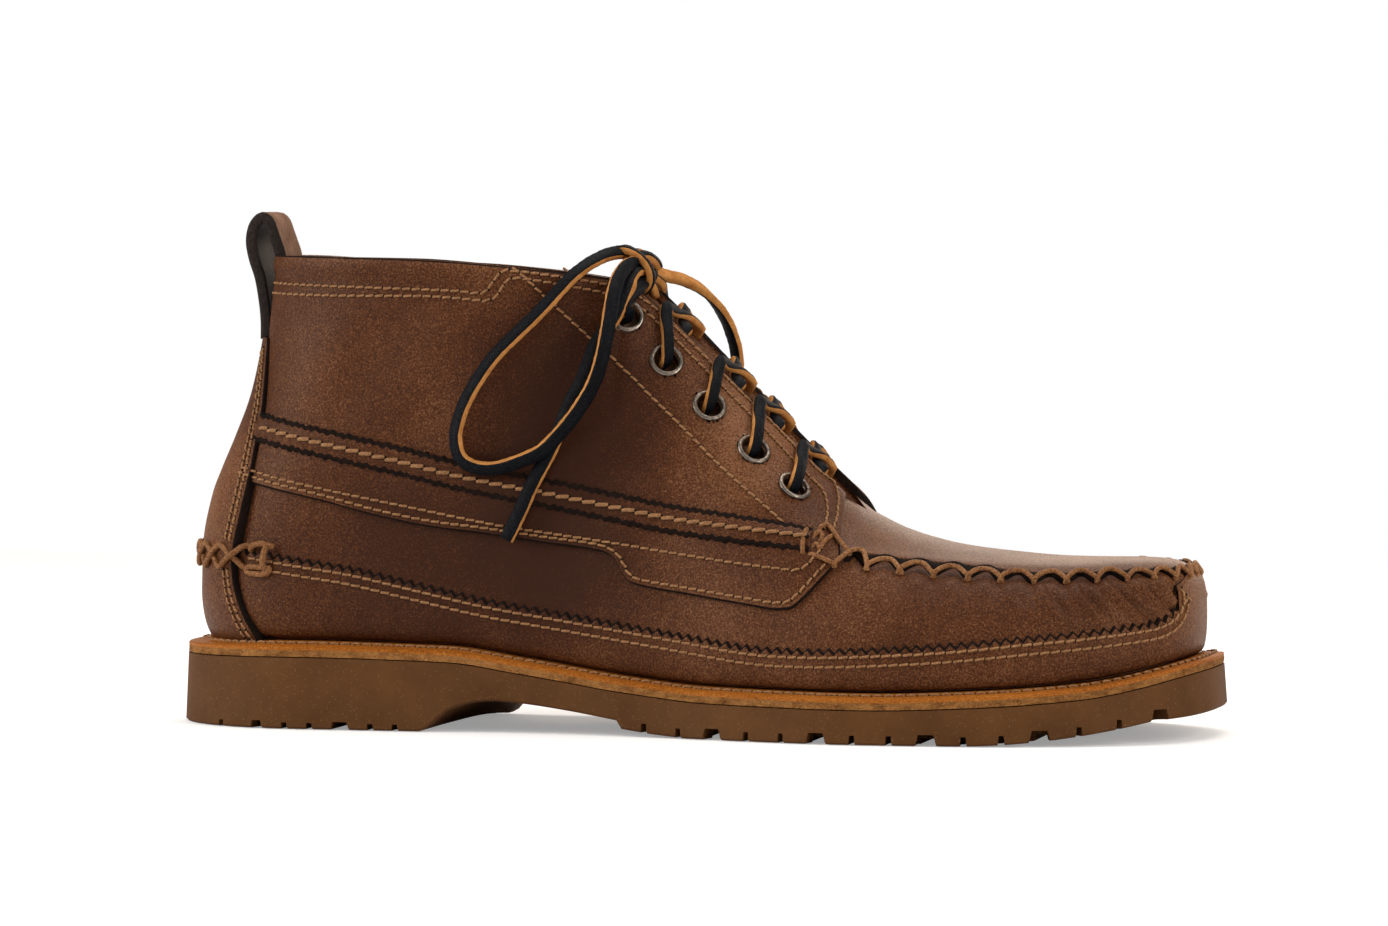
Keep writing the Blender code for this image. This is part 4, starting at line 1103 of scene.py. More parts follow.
def soleBody(name, stations, rings, columns, slots, index=None):
    # rings from the bottom up, closed below and above by strips across
    count, half = len(rings[0]), len(stations)
    points, faces, marks = list(rings), [], []
    for r in range(len(rings) - 1):
        faces.append(gridFaces(2, count, r * count, wrap=True))
        marks.append(np.full(count, r))
    start = len(rings) * count
    for r, flip in ((0, True), (len(rings) - 1, False)):
        lateral, medial = rings[r][:half], rings[r][half:][::-1]
        share = np.linspace(0.0, 1.0, columns)[None, 1:-1, None]
        points.append(mix(lateral[:, None], medial[:, None], share).reshape(-1, 3))
        left = r * count + np.arange(half)
        right = r * count + 2 * half - 1 - np.arange(half)
        middle = start + np.arange(half * (columns - 2)).reshape(half, columns - 2)
        grid = np.hstack([left[:, None], middle, right[:, None]])
        start += half * (columns - 2)
        a, b, c, d = grid[:-1, :-1], grid[1:, :-1], grid[1:, 1:], grid[:-1, 1:]
        cap = np.stack([a, d, c, b] if flip else [a, b, c, d], axis=-1).reshape(-1, 4)
        faces.append(cap)
        marks.append(np.full(len(cap), -1 if flip else len(rings) - 1))
    points, faces = np.vstack(points), np.vstack(faces)
    if not outwards(points, faces):
        faces = faces[:, ::-1]
    marks = [index(k) if index else 0 for k in np.concatenate(marks)]
    return addObject(name, points, faces, slots, marks, merge=0.02)


def soleStations(spacing):
    toe = shape["toeStation"]
    return np.concatenate([
        heelStations(int(66 / spacing)),
        np.linspace(shape["heelRound"], toe, int(174 / spacing), endpoint=False),
        endStations(toe, int(120 / spacing), shape["toePower"]),
    ])


tread = {
    "heel": [(17, 2.2, 1.8), (28.7, 4, 2.2), (37.4, 2.2, 1.8), (44.9, 2.2, 1.8), (54, 6, 2.2), (63, 2.2, 1.8),
             (70.3, 2.2, 1.8)],
    "start": 143.8, "pitch": 10.35, "count": 15, "small": (2.0, 2.6), "wide": (6.2, 3.1), "reach": 7.5,
    "channel": 0.45, "channelDepth": 1.5, "channelsTo": 285.0,
}


boxFaces = np.array([
    (0, 1, 2, 3), (7, 6, 5, 4), (0, 4, 5, 1), (1, 5, 6, 2), (2, 6, 7, 3), (3, 7, 4, 0),
])


def makeTreadCutter(s):
    places = s["heel"] + [
        (s["start"] + s["pitch"] * i, *(s["wide"] if i % 3 == 2 else s["small"])) for i in range(s["count"])
    ]
    points, faces = [], []

    def add(corners):
        corners = np.array(corners, float)
        box = boxFaces if outwards(corners, boxFaces) else boxFaces[:, ::-1]
        faces.extend((box + len(points)).tolist())
        points.extend(corners)

    for x, width, depth in places:
        low = float(underHeight(x))
        for side in sides:
            edge = np.array(outline(side, x, 0.0))
            inward = unit(np.array(outline(side, x, 1.0)) - edge)
            tangent = np.array([-inward[1], inward[0]])
            corners = []
            for height, taper in ((-2.0, 1.15), (depth, 0.7)):
                for reach, sign in ((-3.0, -0.5), (-3.0, 0.5), (s["reach"], 0.5), (s["reach"], -0.5)):
                    corner = edge + inward * reach + tangent * (sign * width * taper)
                    corners.append((*corner, low + height))
            add(corners)
        # a shallow channel joins the two notches under the sole
        left, right = (float(halfWidth(side, x)) - side * (s["reach"] - 1.0) for side in sides)
        corners = []
        for height, taper in ((-2.0, 1.2), (s["channelDepth"], 0.8)):
            half = width * s["channel"] * taper
            for across, y in ((-half, left), (half, left), (half, right), (-half, right)):
                corners.append((x + across, y, low + height))
        if x < s["channelsTo"]:
            add(corners)
    return addObject("treadCutter", points, faces, [materials["rubber"]], smooth=False)


def makeOutsole():
    stations = soleStations(1.6)
    count = len(stations)
    rings = [longerInside(soleRing(stations, shape["treadChamfer"], underHeight), count, 0.0)]
    for share in (0.0, 0.12, 0.3, 0.5, 0.7, 0.88, 1.0):
        def height(x, share=share):
            return mix(underHeight(x) + shape["treadChamfer"], rubberTop(x), share)

        rings.append(longerInside(soleRing(stations, shape["edgeFlare"] * share, height), count, share))
    sole = soleBody("outsoleRubber", stations, rings, 14, [materials["rubber"]])
    cutter = makeTreadCutter(tread)
    cut = sole.modifiers.new("tread", "BOOLEAN")
    cut.object = cutter
    cut.solver = "EXACT"
    cut.use_self = True
    depsgraph = bpy.context.evaluated_depsgraph_get()
    mesh = bpy.data.meshes.new_from_object(sole.evaluated_get(depsgraph))
    sole.modifiers.clear()
    sole.data = mesh
    bpy.data.objects.remove(cutter)
    mesh.shade_smooth()
    mesh.set_sharp_from_angle(angle=math.radians(35.0))
    return finish(sole, "rubber", "outsole")


def makeMidsole():
    edge = shape["edgeFlare"]
    stations = soleStations(1.1)
    rings = []
    for share in (0.0, 0.18, 0.36, 0.54, 0.72, 0.88):
        def roughEdge(x, share=share):
            turn = share * 9.0
            waves = np.sin(x * 2.9 + turn) + np.sin(x * 5.3 + turn * 2.0) * 0.6
            return edge + 0.14 + (0.09 if share < 0.6 else 0.02) * waves

        def height(x, share=share):
            return mix(rubberTop(x) + 0.3, midsoleTop(x) - 0.3, share)

        rings.append(soleRing(stations, roughEdge, height))
    rings.append(soleRing(stations, edge + 0.1, lambda x: midsoleTop(x) - 0.3))
    rings.append(soleRing(stations, edge + 0.5, midsoleTop))
    for share in (0.3, 0.6, 1.0):
        rings.append(soleRing(
            stations, mix(edge + 0.6, edge + shape["ledgeWidth"], share),
            lambda x, share=share: mix(midsoleTop(x), seatHeight(x), share)))
    slots = [materials["midsole"], materials["ledge"]]
    body = soleBody("midsoleLeather", stations, rings, 8, slots, lambda k: int(k >= 4))
    body.data.set_sharp_from_angle(angle=math.radians(50.0))
    return finish(body, "midsole", "midsole")


makeOutsole()
makeMidsole()
print("sole ready")


# Lines on the upper, given as seen from the side

mocLine = [
    (199.5, 50.6), (207, 49.4), (215, 48.4), (230.6, 46.9), (245.7, 46.0), (260.4, 45.7), (275, 46.2),
    (286.7, 46.6), (291.5, 46.4),
]
pinkedLine = [
    (32.2, 50.3), (44, 48.6), (56.8, 46.8), (74.2, 43.1), (94.1, 38.8), (106.4, 36.7), (133, 32.7),
    (159.9, 28.9), (176.3, 26.9), (190, 26.5), (202.6, 26.8), (218, 27.6), (232.7, 28.6), (251.9, 30.6),
    (264, 31.7), (275.8, 33), (283, 33.9), (287.2, 34.8), (290.2, 37.0), (291.0, 40.0), (290.2, 43.4),
]
bandLine = [
    (27.4, 85.2), (31.0, 84.5), (50.1, 80.8), (70.7, 76.5), (91, 71.9), (114.3, 67.6), (134, 63.8),
    (149.5, 61), (165.3, 58.8), (179, 56.9), (190.5, 54.9),
]
quarterLow = [
    (0.0, 20.0, 70.6), (0.06, 26.9, 69), (0.16, 46.8, 64.9), (0.25, 64.5, 60.6), (0.33, 80.7, 57.6),
    (0.40, 94.2, 56.1), (0.50, 113, 53.6), (0.60, 129.9, 51.4), (0.635, 134.2, 49.2), (0.65, 136.2, 45.6),
    (0.67, 138.6, 43.0), (0.70, 142.5, 41.9), (0.78, 160, 39.4), (0.86, 175, 37.4), (0.90, 182.5, 36.5),
    (0.925, 186.6, 36.9), (0.95, 190.2, 39.6), (0.975, 194.8, 44.8), (1.0, 199.5, 50.6),
]
quarterHigh = [
    (0.0, 24.0, 134.8), (0.06, 32, 134.7), (0.16, 52, 134.3), (0.25, 70, 133.9), (0.33, 86, 133.1),
    (0.40, 100, 131.9), (0.50, 118, 129.8), (0.56, 128, 128.2), (0.60, 134.2, 126.4), (0.635, 139.4, 122.0),
    (0.70, 148.5, 113.6), (0.78, 163, 99.0), (0.86, 177.5, 84.6), (0.90, 184.6, 77.6), (0.925, 190.1, 73.8),
    (0.95, 193.4, 70.0), (0.975, 196.0, 65.0), (1.0, 197.1, 59.4),
]


def onSkin(side, line, spacing=1.0):
    # station and height of points seen from the side
    dense = spline(line, spacing)
    return np.stack([skins[side].station(dense[:, 0], dense[:, 1]), dense[:, 1]], axis=1)


def towardToe(line, height):
    # carries a line of stations and heights on to the middle of the toe
    extra = np.linspace(0.0, 1.0, 40)[1:]
    u = line[-1, 0] + (soleLength - line[-1, 0]) * np.sin(extra * math.pi / 2.0)
    return np.vstack([line, np.stack([u, mix(line[-1, 1], height, ease(0.0, 0.6, extra))], axis=1)])


def evenSteps(side, line, spacing):
    # resamples stations and heights so that steps are even on the surface
    run = lengths(skins[side].at(line[:, 0], line[:, 1])[0])
    return readAt(evenPlaces(run, spacing), run, line)


mocOn = {side: towardToe(onSkin(side, mocLine), 46.4) for side in sides}
pinkedOn = {
    side: towardToe(np.vstack([
        [(0.0, 52.6), (6.0, 52.4), (12.0, 52.0), (20.0, 51.4)], onSkin(side, pinkedLine),
    ]), 46.0)
    for side in sides
}


def mocHeight(side, u):
    line = mocOn[side]
    return np.interp(u, line[:, 0], line[:, 1])


# distances along the moc seam from its start, so that both sides share one rhythm
seam = {"pitch": 8.75, "first": 2.6, "uneven": 0.1, "roll": 2.7, "thong": 0.7}


def seamRun(side):
    line = evenSteps(side, mocOn[side], 0.4)
    points, normals = skins[side].at(line[:, 0], line[:, 1])
    return line, points, normals, lengths(points)


seamRuns = {side: seamRun(side) for side in sides}
seamTotal = sum(seamRuns[side][3][-1] for side in sides)
seam["count"] = int(round((seamTotal - 2.0 * seam["first"]) / seam["pitch"])) + 1
gaps = 1.0 + seam["uneven"] * np.cos(np.linspace(0.0, 2.0 * math.pi, seam["count"] - 1))
crests = np.concatenate([[0.0], np.cumsum(gaps)]) / gaps.sum()
crests = seam["first"] + crests * (seamTotal - 2.0 * seam["first"])
print("moc seam", round(seamTotal, 1), "mm,", seam["count"], "crests")


def seamPhase(side, u):
    line, _, _, run = seamRuns[side]
    along = np.interp(u, line[:, 0], run)
    return np.interp(along, crests, np.arange(len(crests)), left=-0.3)


# Shell: the vamp's wall, the dark roll in the seam, and the plug

shell = {"under": -0.85, "liningDepth": 2.2}
creases = [
    # place along the seam, how far below it they start and end, how far they lean, how deep they are
    (46.5, 1.0, 7.0, 3.0, 0.7), (55.6, 1.0, 9.0, 5.0, 1.1), (64.6, 1.0, 11.5, 8.0, 1.5),
    (73.0, 0.6, 12.5, 11.0, 2.0), (81.0, 0.6, 11.5, 11.5, 2.1), (88.0, 0.6, 8.0, 7.0, 1.5),
]


def wallRelief(side, u, z):
    # bulges under each crest of the thong, and creases that run down and forward from the seam
    below = mocHeight(side, u) - z
    phase = seamPhase(side, u)
    front = ease(198.0, 206.0, u)
    swell = 0.75 * np.exp(-((below - 2.6) / 2.4) ** 2) * (0.55 + 0.45 * np.cos(2.0 * math.pi * phase))
    lift = front * swell
    run = np.interp(u, seamRuns[side][0][:, 0], seamRuns[side][3])
    for start, first, last, lean, deep in creases:
        share = np.clip((below - first) / (last - first), 0.0, 1.0)
        centre = start + lean * share ** 1.2
        fade = np.sin(math.pi * np.clip((below - first * 0.2) / (last * 1.15), 0.0, 1.0)) ** 0.8
        away = run - centre
        lift = lift + deep * fade * (np.exp(-(away / 1.5) ** 2) - 0.75 * np.exp(-((away - 2.6) / 1.3) ** 2))
    # slow waves in the vamp's side
    lift = lift + front * 0.25 * np.sin(run * 0.11 + 1.0) * ease(1.0, 8.0, below) * ease(28.0, 12.0, below)
    return lift


def plugRelief(side, u, z):
    above = z - mocHeight(side, u)
    front = ease(199.0, 206.0, u)
    return front * (0.35 * np.exp(-((above - 3.1) / 1.2) ** 2) - 0.3 * np.exp(-((above - 6.0) / 2.2) ** 2))


def shellRows(side, u):
    # heights, lifts and kinds of the shell's rows at each station
    skin = skins[side]
    low = np.interp(u, skin.u, skin.low)
    high = np.interp(u, skin.u, skin.high)
    front = ease(198.5, 203.0, u)
    seamZ = np.where(u < 199.5, 50.6, mocHeight(side, u))
    toe = ease(232.0, 262.0, u)
    scallop = mix(1.25, 1.05, toe) * np.cos(2.0 * math.pi * seamPhase(side, u)) + mix(0.75, -0.1, toe)
    wallTop = seamZ + front * scallop
    plugLow = seamZ + mix(seam["roll"], 1.6, toe) * front + 0.4 * (1.0 - front)
    z, lift, kind = [], [], []
    for t in np.concatenate([np.linspace(0.0, 0.72, 22), np.linspace(0.74, 0.99, 17)]):
        height = mix(low, wallTop, t)
        z.append(height)
        lift.append(shell["under"] + wallRelief(side, u, height))
        kind.append(0)
    edge = shell["under"] + wallRelief(side, u, wallTop)
    for step, drop, mark in ((0.0, 0.1, 1), (0.12, 0.85, 1)):
        z.append(wallTop + step * front)
        lift.append(edge - drop * front)
        kind.append(mark)
    for t, rise in ((0.2, 0.8), (0.45, 1.35), (0.7, 1.3), (0.9, 0.4)):
        z.append(mix(wallTop, plugLow, t))
        lift.append(shell["under"] + front * rise)
        kind.append(1)
    for t in np.concatenate([[0.0, 0.012, 0.03], np.linspace(0.055, 0.4, 11), np.linspace(0.46, 1.0, 15)]):
        height = mix(plugLow, high, t)
        z.append(height)
        lip = 0.55 * np.exp(-(t / 0.008)) * front
        lift.append(shell["under"] + plugRelief(side, u, height) - lip)
        kind.append(2)
    return np.array(z).T, np.array(lift).T, kind


def keepUsed(points, faces):
    used = np.unique(np.concatenate([np.asarray(f) for f in faces]))
    fresh = np.full(len(points), -1)
    fresh[used] = np.arange(len(used))
    return points[used], [tuple(int(k) for k in fresh[np.asarray(f)]) for f in faces], used


eyelets = {
    "x": [133.8, 145.4, 158.2, 171.5, 183.4], "drop": [9.9, 11.7, 11.6, 10.6, 8.4],
    "outer": 5.0, "inner": 3.5, "rise": 0.62, "barrel": 2.6, "hole": 4.0, "lift": 0.75,
}


def eyeletPlaces(side):
    skin = skins[side]
    places = []
    for x, drop in zip(eyelets["x"], eyelets["drop"]):
        z = float(row(topLine, "z", x)) - drop
        u = float(skin.station(x, z))
        point, normal = skin.at(u, z)
        places.append((point, unit(skin.at(u + 4.0, z)[1] * 2.0 + normal)))
    return places


def awayFromEyelets(side, points):
    # true where a point is clear of every eyelet's hole
    clear = np.ones(points.shape[:-1], bool)
    for centre, normal in eyeletPlaces(side):
        off = points - centre
        along = np.sum(off * normal, axis=-1, keepdims=True)
        clear &= np.linalg.norm(off - along * normal, axis=-1) > eyelets["hole"]
    return clear


def shellStations():
    return np.concatenate([
        heelStations(20), np.linspace(shape["heelRound"], shape["collarStation"], 34, endpoint=False),
        np.linspace(shape["collarStation"], shape["throatEnd"], 40),
        np.linspace(shape["plugStart"], 262.0, 100, endpoint=False),
        262.0 + 40.0 * np.sin(np.linspace(0.0, math.pi / 2.0, 110)) ** (2.0 / shape["toePower"]),
    ])


def makeShell():
    u = shellStations()
    openTo = int(np.sum(u <= shape["throatEnd"]))
    middle = (np.abs(u - soleLength) < 1e-6) | (u < 1e-6)
    points, faces, marks, start = [], [], [], 0
    for side in sides:
        z, lift, kind = shellRows(side, u)
        outer, normal = skins[side].at(np.repeat(u[:, None], z.shape[1], axis=1), z)
        normal[middle, :, 1] = 0.0
        normal = unit(normal)
        # over the crest the two sides lean to one shared direction
        share = ease(0.9, 1.0, (z - z[:, :1]) / (z[:, -1:] - z[:, :1]))
        share = share[..., None] * (u >= shape["plugStart"])[:, None, None]
        away = unit(mix(normal, unit(normal * np.array([1.0, 0.0, 1.0])), share))
        outer = outer + away * lift[..., None]
        rows, columns = outer.shape[:2]
        inside = np.linspace(0, columns - 1, 16).round().astype(int)
        inner = outer[:, inside] - away[:, inside] * shell["liningDepth"]
        flip = side > 0
        grid = gridFaces(rows, columns, start, flip)
        keep = awayFromEyelets(side, outer).ravel()[grid - start].all(axis=1)
        cell = np.arange(len(grid))
        zone = np.array(kind[1:])[cell % (columns - 1)]
        station = u[cell // (columns - 1)]
        # behind the seam's start the roll and the plug are plain leather
        plain = ((zone == 1) & (station < 199.0)) | ((zone == 2) & (station < 194.0))
        faces.append(grid[keep])
        marks.append(np.where(plain, 0, zone)[keep])
        innerStart, innerColumns = start + rows * columns, len(inside)
        grid = gridFaces(rows, innerColumns, innerStart, not flip)
        keep = awayFromEyelets(side, inner).ravel()[grid - innerStart].all(axis=1)
        faces.append(grid[keep])
        marks.append(np.full(keep.sum(), 3))
        # walls along the foot, and along the top line as far as the throat is open
        for column, innerColumn, turned, count in (
                (0, 0, flip, rows - 1), (columns - 1, innerColumns - 1, not flip, openTo)):
            a = start + np.arange(count) * columns + column
            d = innerStart + np.arange(count) * innerColumns + innerColumn
            wall = [a, a + columns, d + innerColumns, d]
            faces.append(np.stack(wall if turned else wall[::-1], axis=1))
            marks.append(np.zeros(count, int))
        points += [outer.reshape(-1, 3), inner.reshape(-1, 3)]
        start = innerStart + rows * innerColumns
    points, faces, _ = keepUsed(np.vstack(points), list(np.vstack(faces)))
    slots = [materials["leather"], materials["rawEdge"], materials["plug"], materials["lining"]]
    return addObject("upperShell", points, faces, slots, np.concatenate(marks), merge=0.03)


upperShell = finish(makeShell(), "leather", "upper")
print("shell ready")


# Overlaid pieces

def edgeRound(distance, lift, sink, width):
    # rises steeply from the sunk border and rounds off on to the surface
    t = np.clip(distance / width, 0.0, 1.0)
    crown = 0.72 + 0.28 * np.sqrt(np.clip(1.0 - (1.0 - t) ** 2, 0.0, 1.0))
    return mix(sink, lift, np.where(distance <= 0.001, 0.0, crown))


def closeHoles(faces, marks, keep, rows, columns, flip):
    # drops the cells of each hole from both sheets and builds the walls round it
    count = rows * columns
    kept = keep.reshape(rows - 1, columns - 1)
    walls = []
    for i, j in np.argwhere(~kept):
        a = i * columns + j
        b, c, d = a + 1, a + columns + 1, a + columns
        for p, q, ni, nj in ((a, b, i - 1, j), (b, c, i, j + 1), (c, d, i + 1, j), (d, a, i, j - 1)):
            if 0 <= ni < rows - 1 and 0 <= nj < columns - 1 and kept[ni, nj]:
                wall = (p, q, q + count, p + count)
                walls.append(wall if flip else wall[::-1])
    keepBoth = np.concatenate([keep, keep, np.ones(len(faces) - 2 * len(keep), bool)])
    faces = np.vstack([faces[keepBoth], np.array(walls)])
    return faces, np.concatenate([marks[keepBoth], np.ones(len(walls), int)])


quarter = {
    "lift": 0.5, "sink": -0.95, "columns": 190, "rows": 62, "foldedTo": 136.0, "round": 0.9,
    "border": (0.0, 0.16, 0.65, 1.2), "wear": 0.35, "wearReach": 1.6,
}


def quarterRelief(z, fromLow, fromHigh, base):
    x = base[..., 0]
    # the collar is folded over a soft edge, and the ankle has slow hollows
    fold = 0.55 * np.exp(-((fromHigh - 2.6) / 2.2) ** 2) * ease(137.0, 130.0, x)
    fold = fold - 0.3 * np.exp(-((fromHigh - 7.5) / 1.6) ** 2) * ease(137.0, 130.0, x)
    soft = (
        0.5 * np.sin(x * 0.055 + 0.4) * np.sin(z * 0.07 + 0.8) + 0.35 * np.sin(x * 0.12 + z * 0.09)
        + 0.25 * np.sin(x * 0.21 - z * 0.15 + 1.2)
    )
    soft = soft * ease(6.0, 22.0, fromHigh) * ease(3.0, 14.0, fromLow)
    hollow = -0.9 * np.exp(-((x - 118.0) / 16.0) ** 2 - ((z - 88.0) / 16.0) ** 2)
    # the inner facing's front corner stands off the vamp
    flare = 0.8 * ease(176.0, 190.0, x) * ease(15.0, 2.0, fromHigh) * (base[..., 1] > 0.0)
    return fold + soft * 0.8 + hollow * 0.8 + flare


def readTable(table, s):
    # a table of s, x and height, read at s
    table = np.array(table, float)
    return [smoothLine(table[:, 0], table[:, k], s) for k in (1, 2)]


def lineOf(side, table):
    # the same table turned into even rows of station and height
    x, z = readTable(table, np.linspace(0.0, 1.0, 325))
    return np.stack([skins[side].station(x, z), z], axis=1)


def makeQuarter(side):
    # a thin panel between two lines, its borders cut and turned down
    q, skin = quarter, skins[side]
    low, high = lineOf(side, quarterLow), lineOf(side, quarterHigh)
    high[:, 1] -= farDrop(side, skin.at(high[:, 0], high[:, 1] - 4.0)[0][:, 0])
    near = np.array(q["border"])
    reach = lengths(skin.at(*low.T)[0])[-1]
    s = np.linspace(0.0, 1.0, q["columns"])
    s = np.concatenate([s[s < 1.0 - 1.4 / reach], 1.0 - near[::-1] / reach])
    lowAt, highAt = spread(low, s), spread(high, s)
    tall = np.linalg.norm(skin.at(*highAt.T)[0] - skin.at(*lowAt.T)[0], axis=1)
    tall = np.maximum(tall, 2.5)[:, None]
    edge = near / tall
    body = np.linspace(0.0, 1.0, q["rows"] + 2)[1:-1]
    share = np.hstack([edge, edge[:, -1:] + body * (1.0 - 2.0 * edge[:, -1:]), 1.0 - edge[:, ::-1]])
    where = mix(lowAt[:, None], highAt[:, None], share[..., None])
    u, z = where[..., 0], where[..., 1]
    base, normal = skin.at(u, z)
    fromLow, fromHigh = share * tall, (1.0 - share) * tall
    distance = np.minimum(np.minimum(fromLow, fromHigh), ((1.0 - s) * reach)[:, None])
    raised = edgeRound(distance, q["lift"], q["sink"], q["round"])
    relief = quarterRelief(z, fromLow, fromHigh, base) * np.clip(distance / q["round"], 0.0, 1.0)
    top = base + normal * (raised + relief)[..., None]
    points, faces = sealedSheet(top, base + normal * (q["sink"] - 0.15), side < 0)
    rows, columns = top.shape[:2]
    cell = gridFaces(rows, columns)
    folded = base[..., 0].ravel()[cell].mean(axis=1) < q["foldedTo"]
    folded &= fromHigh.ravel()[cell].min(axis=1) < 0.01
    marks = np.ones(len(faces), int)
    marks[:len(cell)] = (distance.ravel()[cell].max(axis=1) <= 0.66) & ~folded
    keep = awayFromEyelets(side, top).ravel()[cell].all(axis=1)
    faces, marks = closeHoles(faces, marks, keep, rows, columns, side < 0)
    wear = np.concatenate([np.exp(-distance / q["wearReach"]).ravel(), np.zeros(distance.size)])
    points, faces, used = keepUsed(points, list(faces))
    slots = [materials["leather"], materials["rawEdge"]]
    thing = addObject("quarter" + sideNames[side], points, faces, slots, marks,
                      attributes={"wear": wear[used] * q["wear"]})
    return finish(thing, "leather")


quarters = {side: makeQuarter(side) for side in sides}
print("quarters ready")


rand = {
    "lift": 0.1, "sink": -0.95, "pitch": 3.1, "depth": 1.7, "raw": 1.35, "rows": 15,
    "start": (26.0, 48.0), "end": (290.2, 43.4), "sewnAt": (-3.0, -5.6),
}


def randSheets(side):
    r, skin = rand, skins[side]
    line = evenSteps(side, pinkedOn[side], r["pitch"] / 6.0)
    points, normals = skin.at(line[:, 0], line[:, 1])
    run = lengths(points)
    up = upAlong(points, normals, side)
    # the teeth fade out where the rand meets the seam over the toe
    corner = run[np.argmin(np.abs(line[:, 0] - skin.station(*r["end"])))]
    fade = ease(corner + 1.0, corner - 2.0, run)
    tooth = np.abs(((run / r["pitch"]) % 1.0) * 2.0 - 1.0)
    dip = up * (r["depth"] * tooth * fade)[:, None]
    raw = up * (r["raw"] * (0.35 + 0.65 * fade))[:, None]
    low = np.stack([line[:, 0], np.interp(line[:, 0], skin.u, skin.low)], axis=1)
    upper, lower = [], []
    for t in np.linspace(0.0, 1.0, r["rows"]):
        base, normal = skin.at(*mix(low, line, t).T)
        base = base - (dip + raw) * t ** 3
        swell = 0.25 * math.sin(math.pi * min(1.0, t * 1.2)) - 0.5 * math.exp(-t * 14.0)
        upper.append(base + normal * (r["lift"] + swell))
        lower.append(base + normal * (r["sink"] - 0.1))
    for share, lift in ((0.7, r["lift"] - 0.08), (0.1, -0.62), (0.0, -0.98)):
        upper.append(points - dip - raw * share + normals * lift)
        lower.append(upper[-1] - normals * 0.12)
    return np.array(upper).transpose(1, 0, 2), np.array(lower).transpose(1, 0, 2)


def makeRand():
    points, faces, marks, start = [], [], [], 0
    for side in sides:
        top, bottom = randSheets(side)
        body, bodyFaces = sealedSheet(top, bottom, side < 0)
        points.append(body)
        faces.append(bodyFaces + start)
        marks.append(markColumns(bodyFaces, top, np.arange(top.shape[1] - 1) >= rand["rows"], 0))
        start += len(body)
    slots = [materials["leather"], materials["rawEdge"]]
    thing = addObject("rand", np.vstack(points), np.vstack(faces), slots, np.concatenate(marks))
    return finish(thing, "leather")


randPiece = makeRand()
print("rand ready")


# Seating of fine pieces on what lies under them

class Ground:
    def __init__(self, things):
        points, faces = [], []
        for thing in things:
            mesh = thing.data
            start = len(points)
            points.extend(v.co.copy() for v in mesh.vertices)
            faces.extend([k + start for k in p.vertices] for p in mesh.polygons)
        self.tree = BVHTree.FromPolygons(points, faces)

    def seat(self, points, normals, lift=0.0, reach=5.0):
        # drops points along their normals on to the outermost surface
        seated = []
        for p, n in zip(toWorld(points), normals):
            n = Vector(n)
            hit = self.tree.ray_cast(Vector(p) + n * reach * mm, -n, 2.0 * reach * mm)[0]
            seated.append(hit if hit is not None else Vector(p))
        seated = np.array([[v.x, v.y, v.z] for v in seated]) / mm - np.array([heelBack, 0.0, 0.0])
        return seated + np.asarray(normals) * np.asarray(lift).reshape(-1, 1)


def onSide(side, line, spacing=0.8):
    # points and normals on the skin along a line seen from the side
    dense = spline(line, spacing)
    return skins[side].seen(dense[:, 0], dense[:, 1])


def shifted(points, normals, offset, side):
    # moves a line across the surface, towards the top line when offset is positive
    return points + upAlong(points, normals, side) * offset


# Backstay

backstay = {"lift": (2.7, 2.0), "sink": -0.9, "low": 19.5, "high": 110.6, "rows": 70}
backstayEdge = [
    (32.6, 19.0), (30.6, 23.0), (27.9, 27.5), (25.4, 31.5), (23.3, 36), (21.9, 40.5), (21.2, 46),
    (22.0, 52.8),
    (23.3, 58.5), (24.9, 66), (26.3, 73.4), (27.6, 84), (28.4, 91), (28.4, 100.6), (28.3, 107), (28.2, 113),
]


def backstayStation(side, z):
    edge = np.array(backstayEdge)
    return skins[side].station(np.interp(z, edge[:, 1], edge[:, 0]), z)


def backstaySheet(lift=None):
    # rows up the heel from the outer edge round to the inner one, rounded over or at one lift
    s = backstay
    z = np.linspace(s["low"], s["high"], s["rows"])
    shares = np.concatenate([np.linspace(0.0, 0.93, 16), [0.965, 0.985, 0.995, 1.0]])
    rise = np.concatenate([np.ones(17), [0.93, 0.8, 0.0]])
    full = mix(*s["lift"], ease(50.0, 75.0, z))[:, None]
    halves = []
    for side, order in ((-1, slice(None, 0, -1)), (1, slice(None))):
        u = backstayStation(side, z)[:, None] * shares[order][None, :] ** 2
        base, normal = skins[side].at(u, np.repeat(z[:, None], u.shape[1], axis=1))
        if side > 0:
            base[:, 0, 1] = 0.0
            normal[:, 0, 1] = 0.0
            normal = unit(normal)
        height = mix(s["sink"], full, rise[order][None, :]) if lift is None else np.full(u.shape, lift)
        halves.append(base + normal * height[..., None])
    return np.concatenate(halves, axis=1)


def makeBackstay():
    top = backstaySheet()
    points, faces = outwardSheet(top, backstaySheet(backstay["sink"] - 0.12))
    column = np.arange(top.shape[1] - 1)
    marks = markColumns(faces, top, (column < 2) | (column >= len(column) - 2), 1)
    slots = [materials["leather"], materials["rawEdge"]]
    return finish(addObject("backstayStrip", points, faces, slots, marks), "leather", "backstay")


backstayPiece = makeBackstay()
ground = Ground([upperShell, quarters[-1], quarters[1], randPiece, backstayPiece])
print("backstay ready")


# Wavy-edged band

band = {"half": 4.15, "raw": 1.35, "rise": 1.25, "wave": 0.28, "period": 2.4}


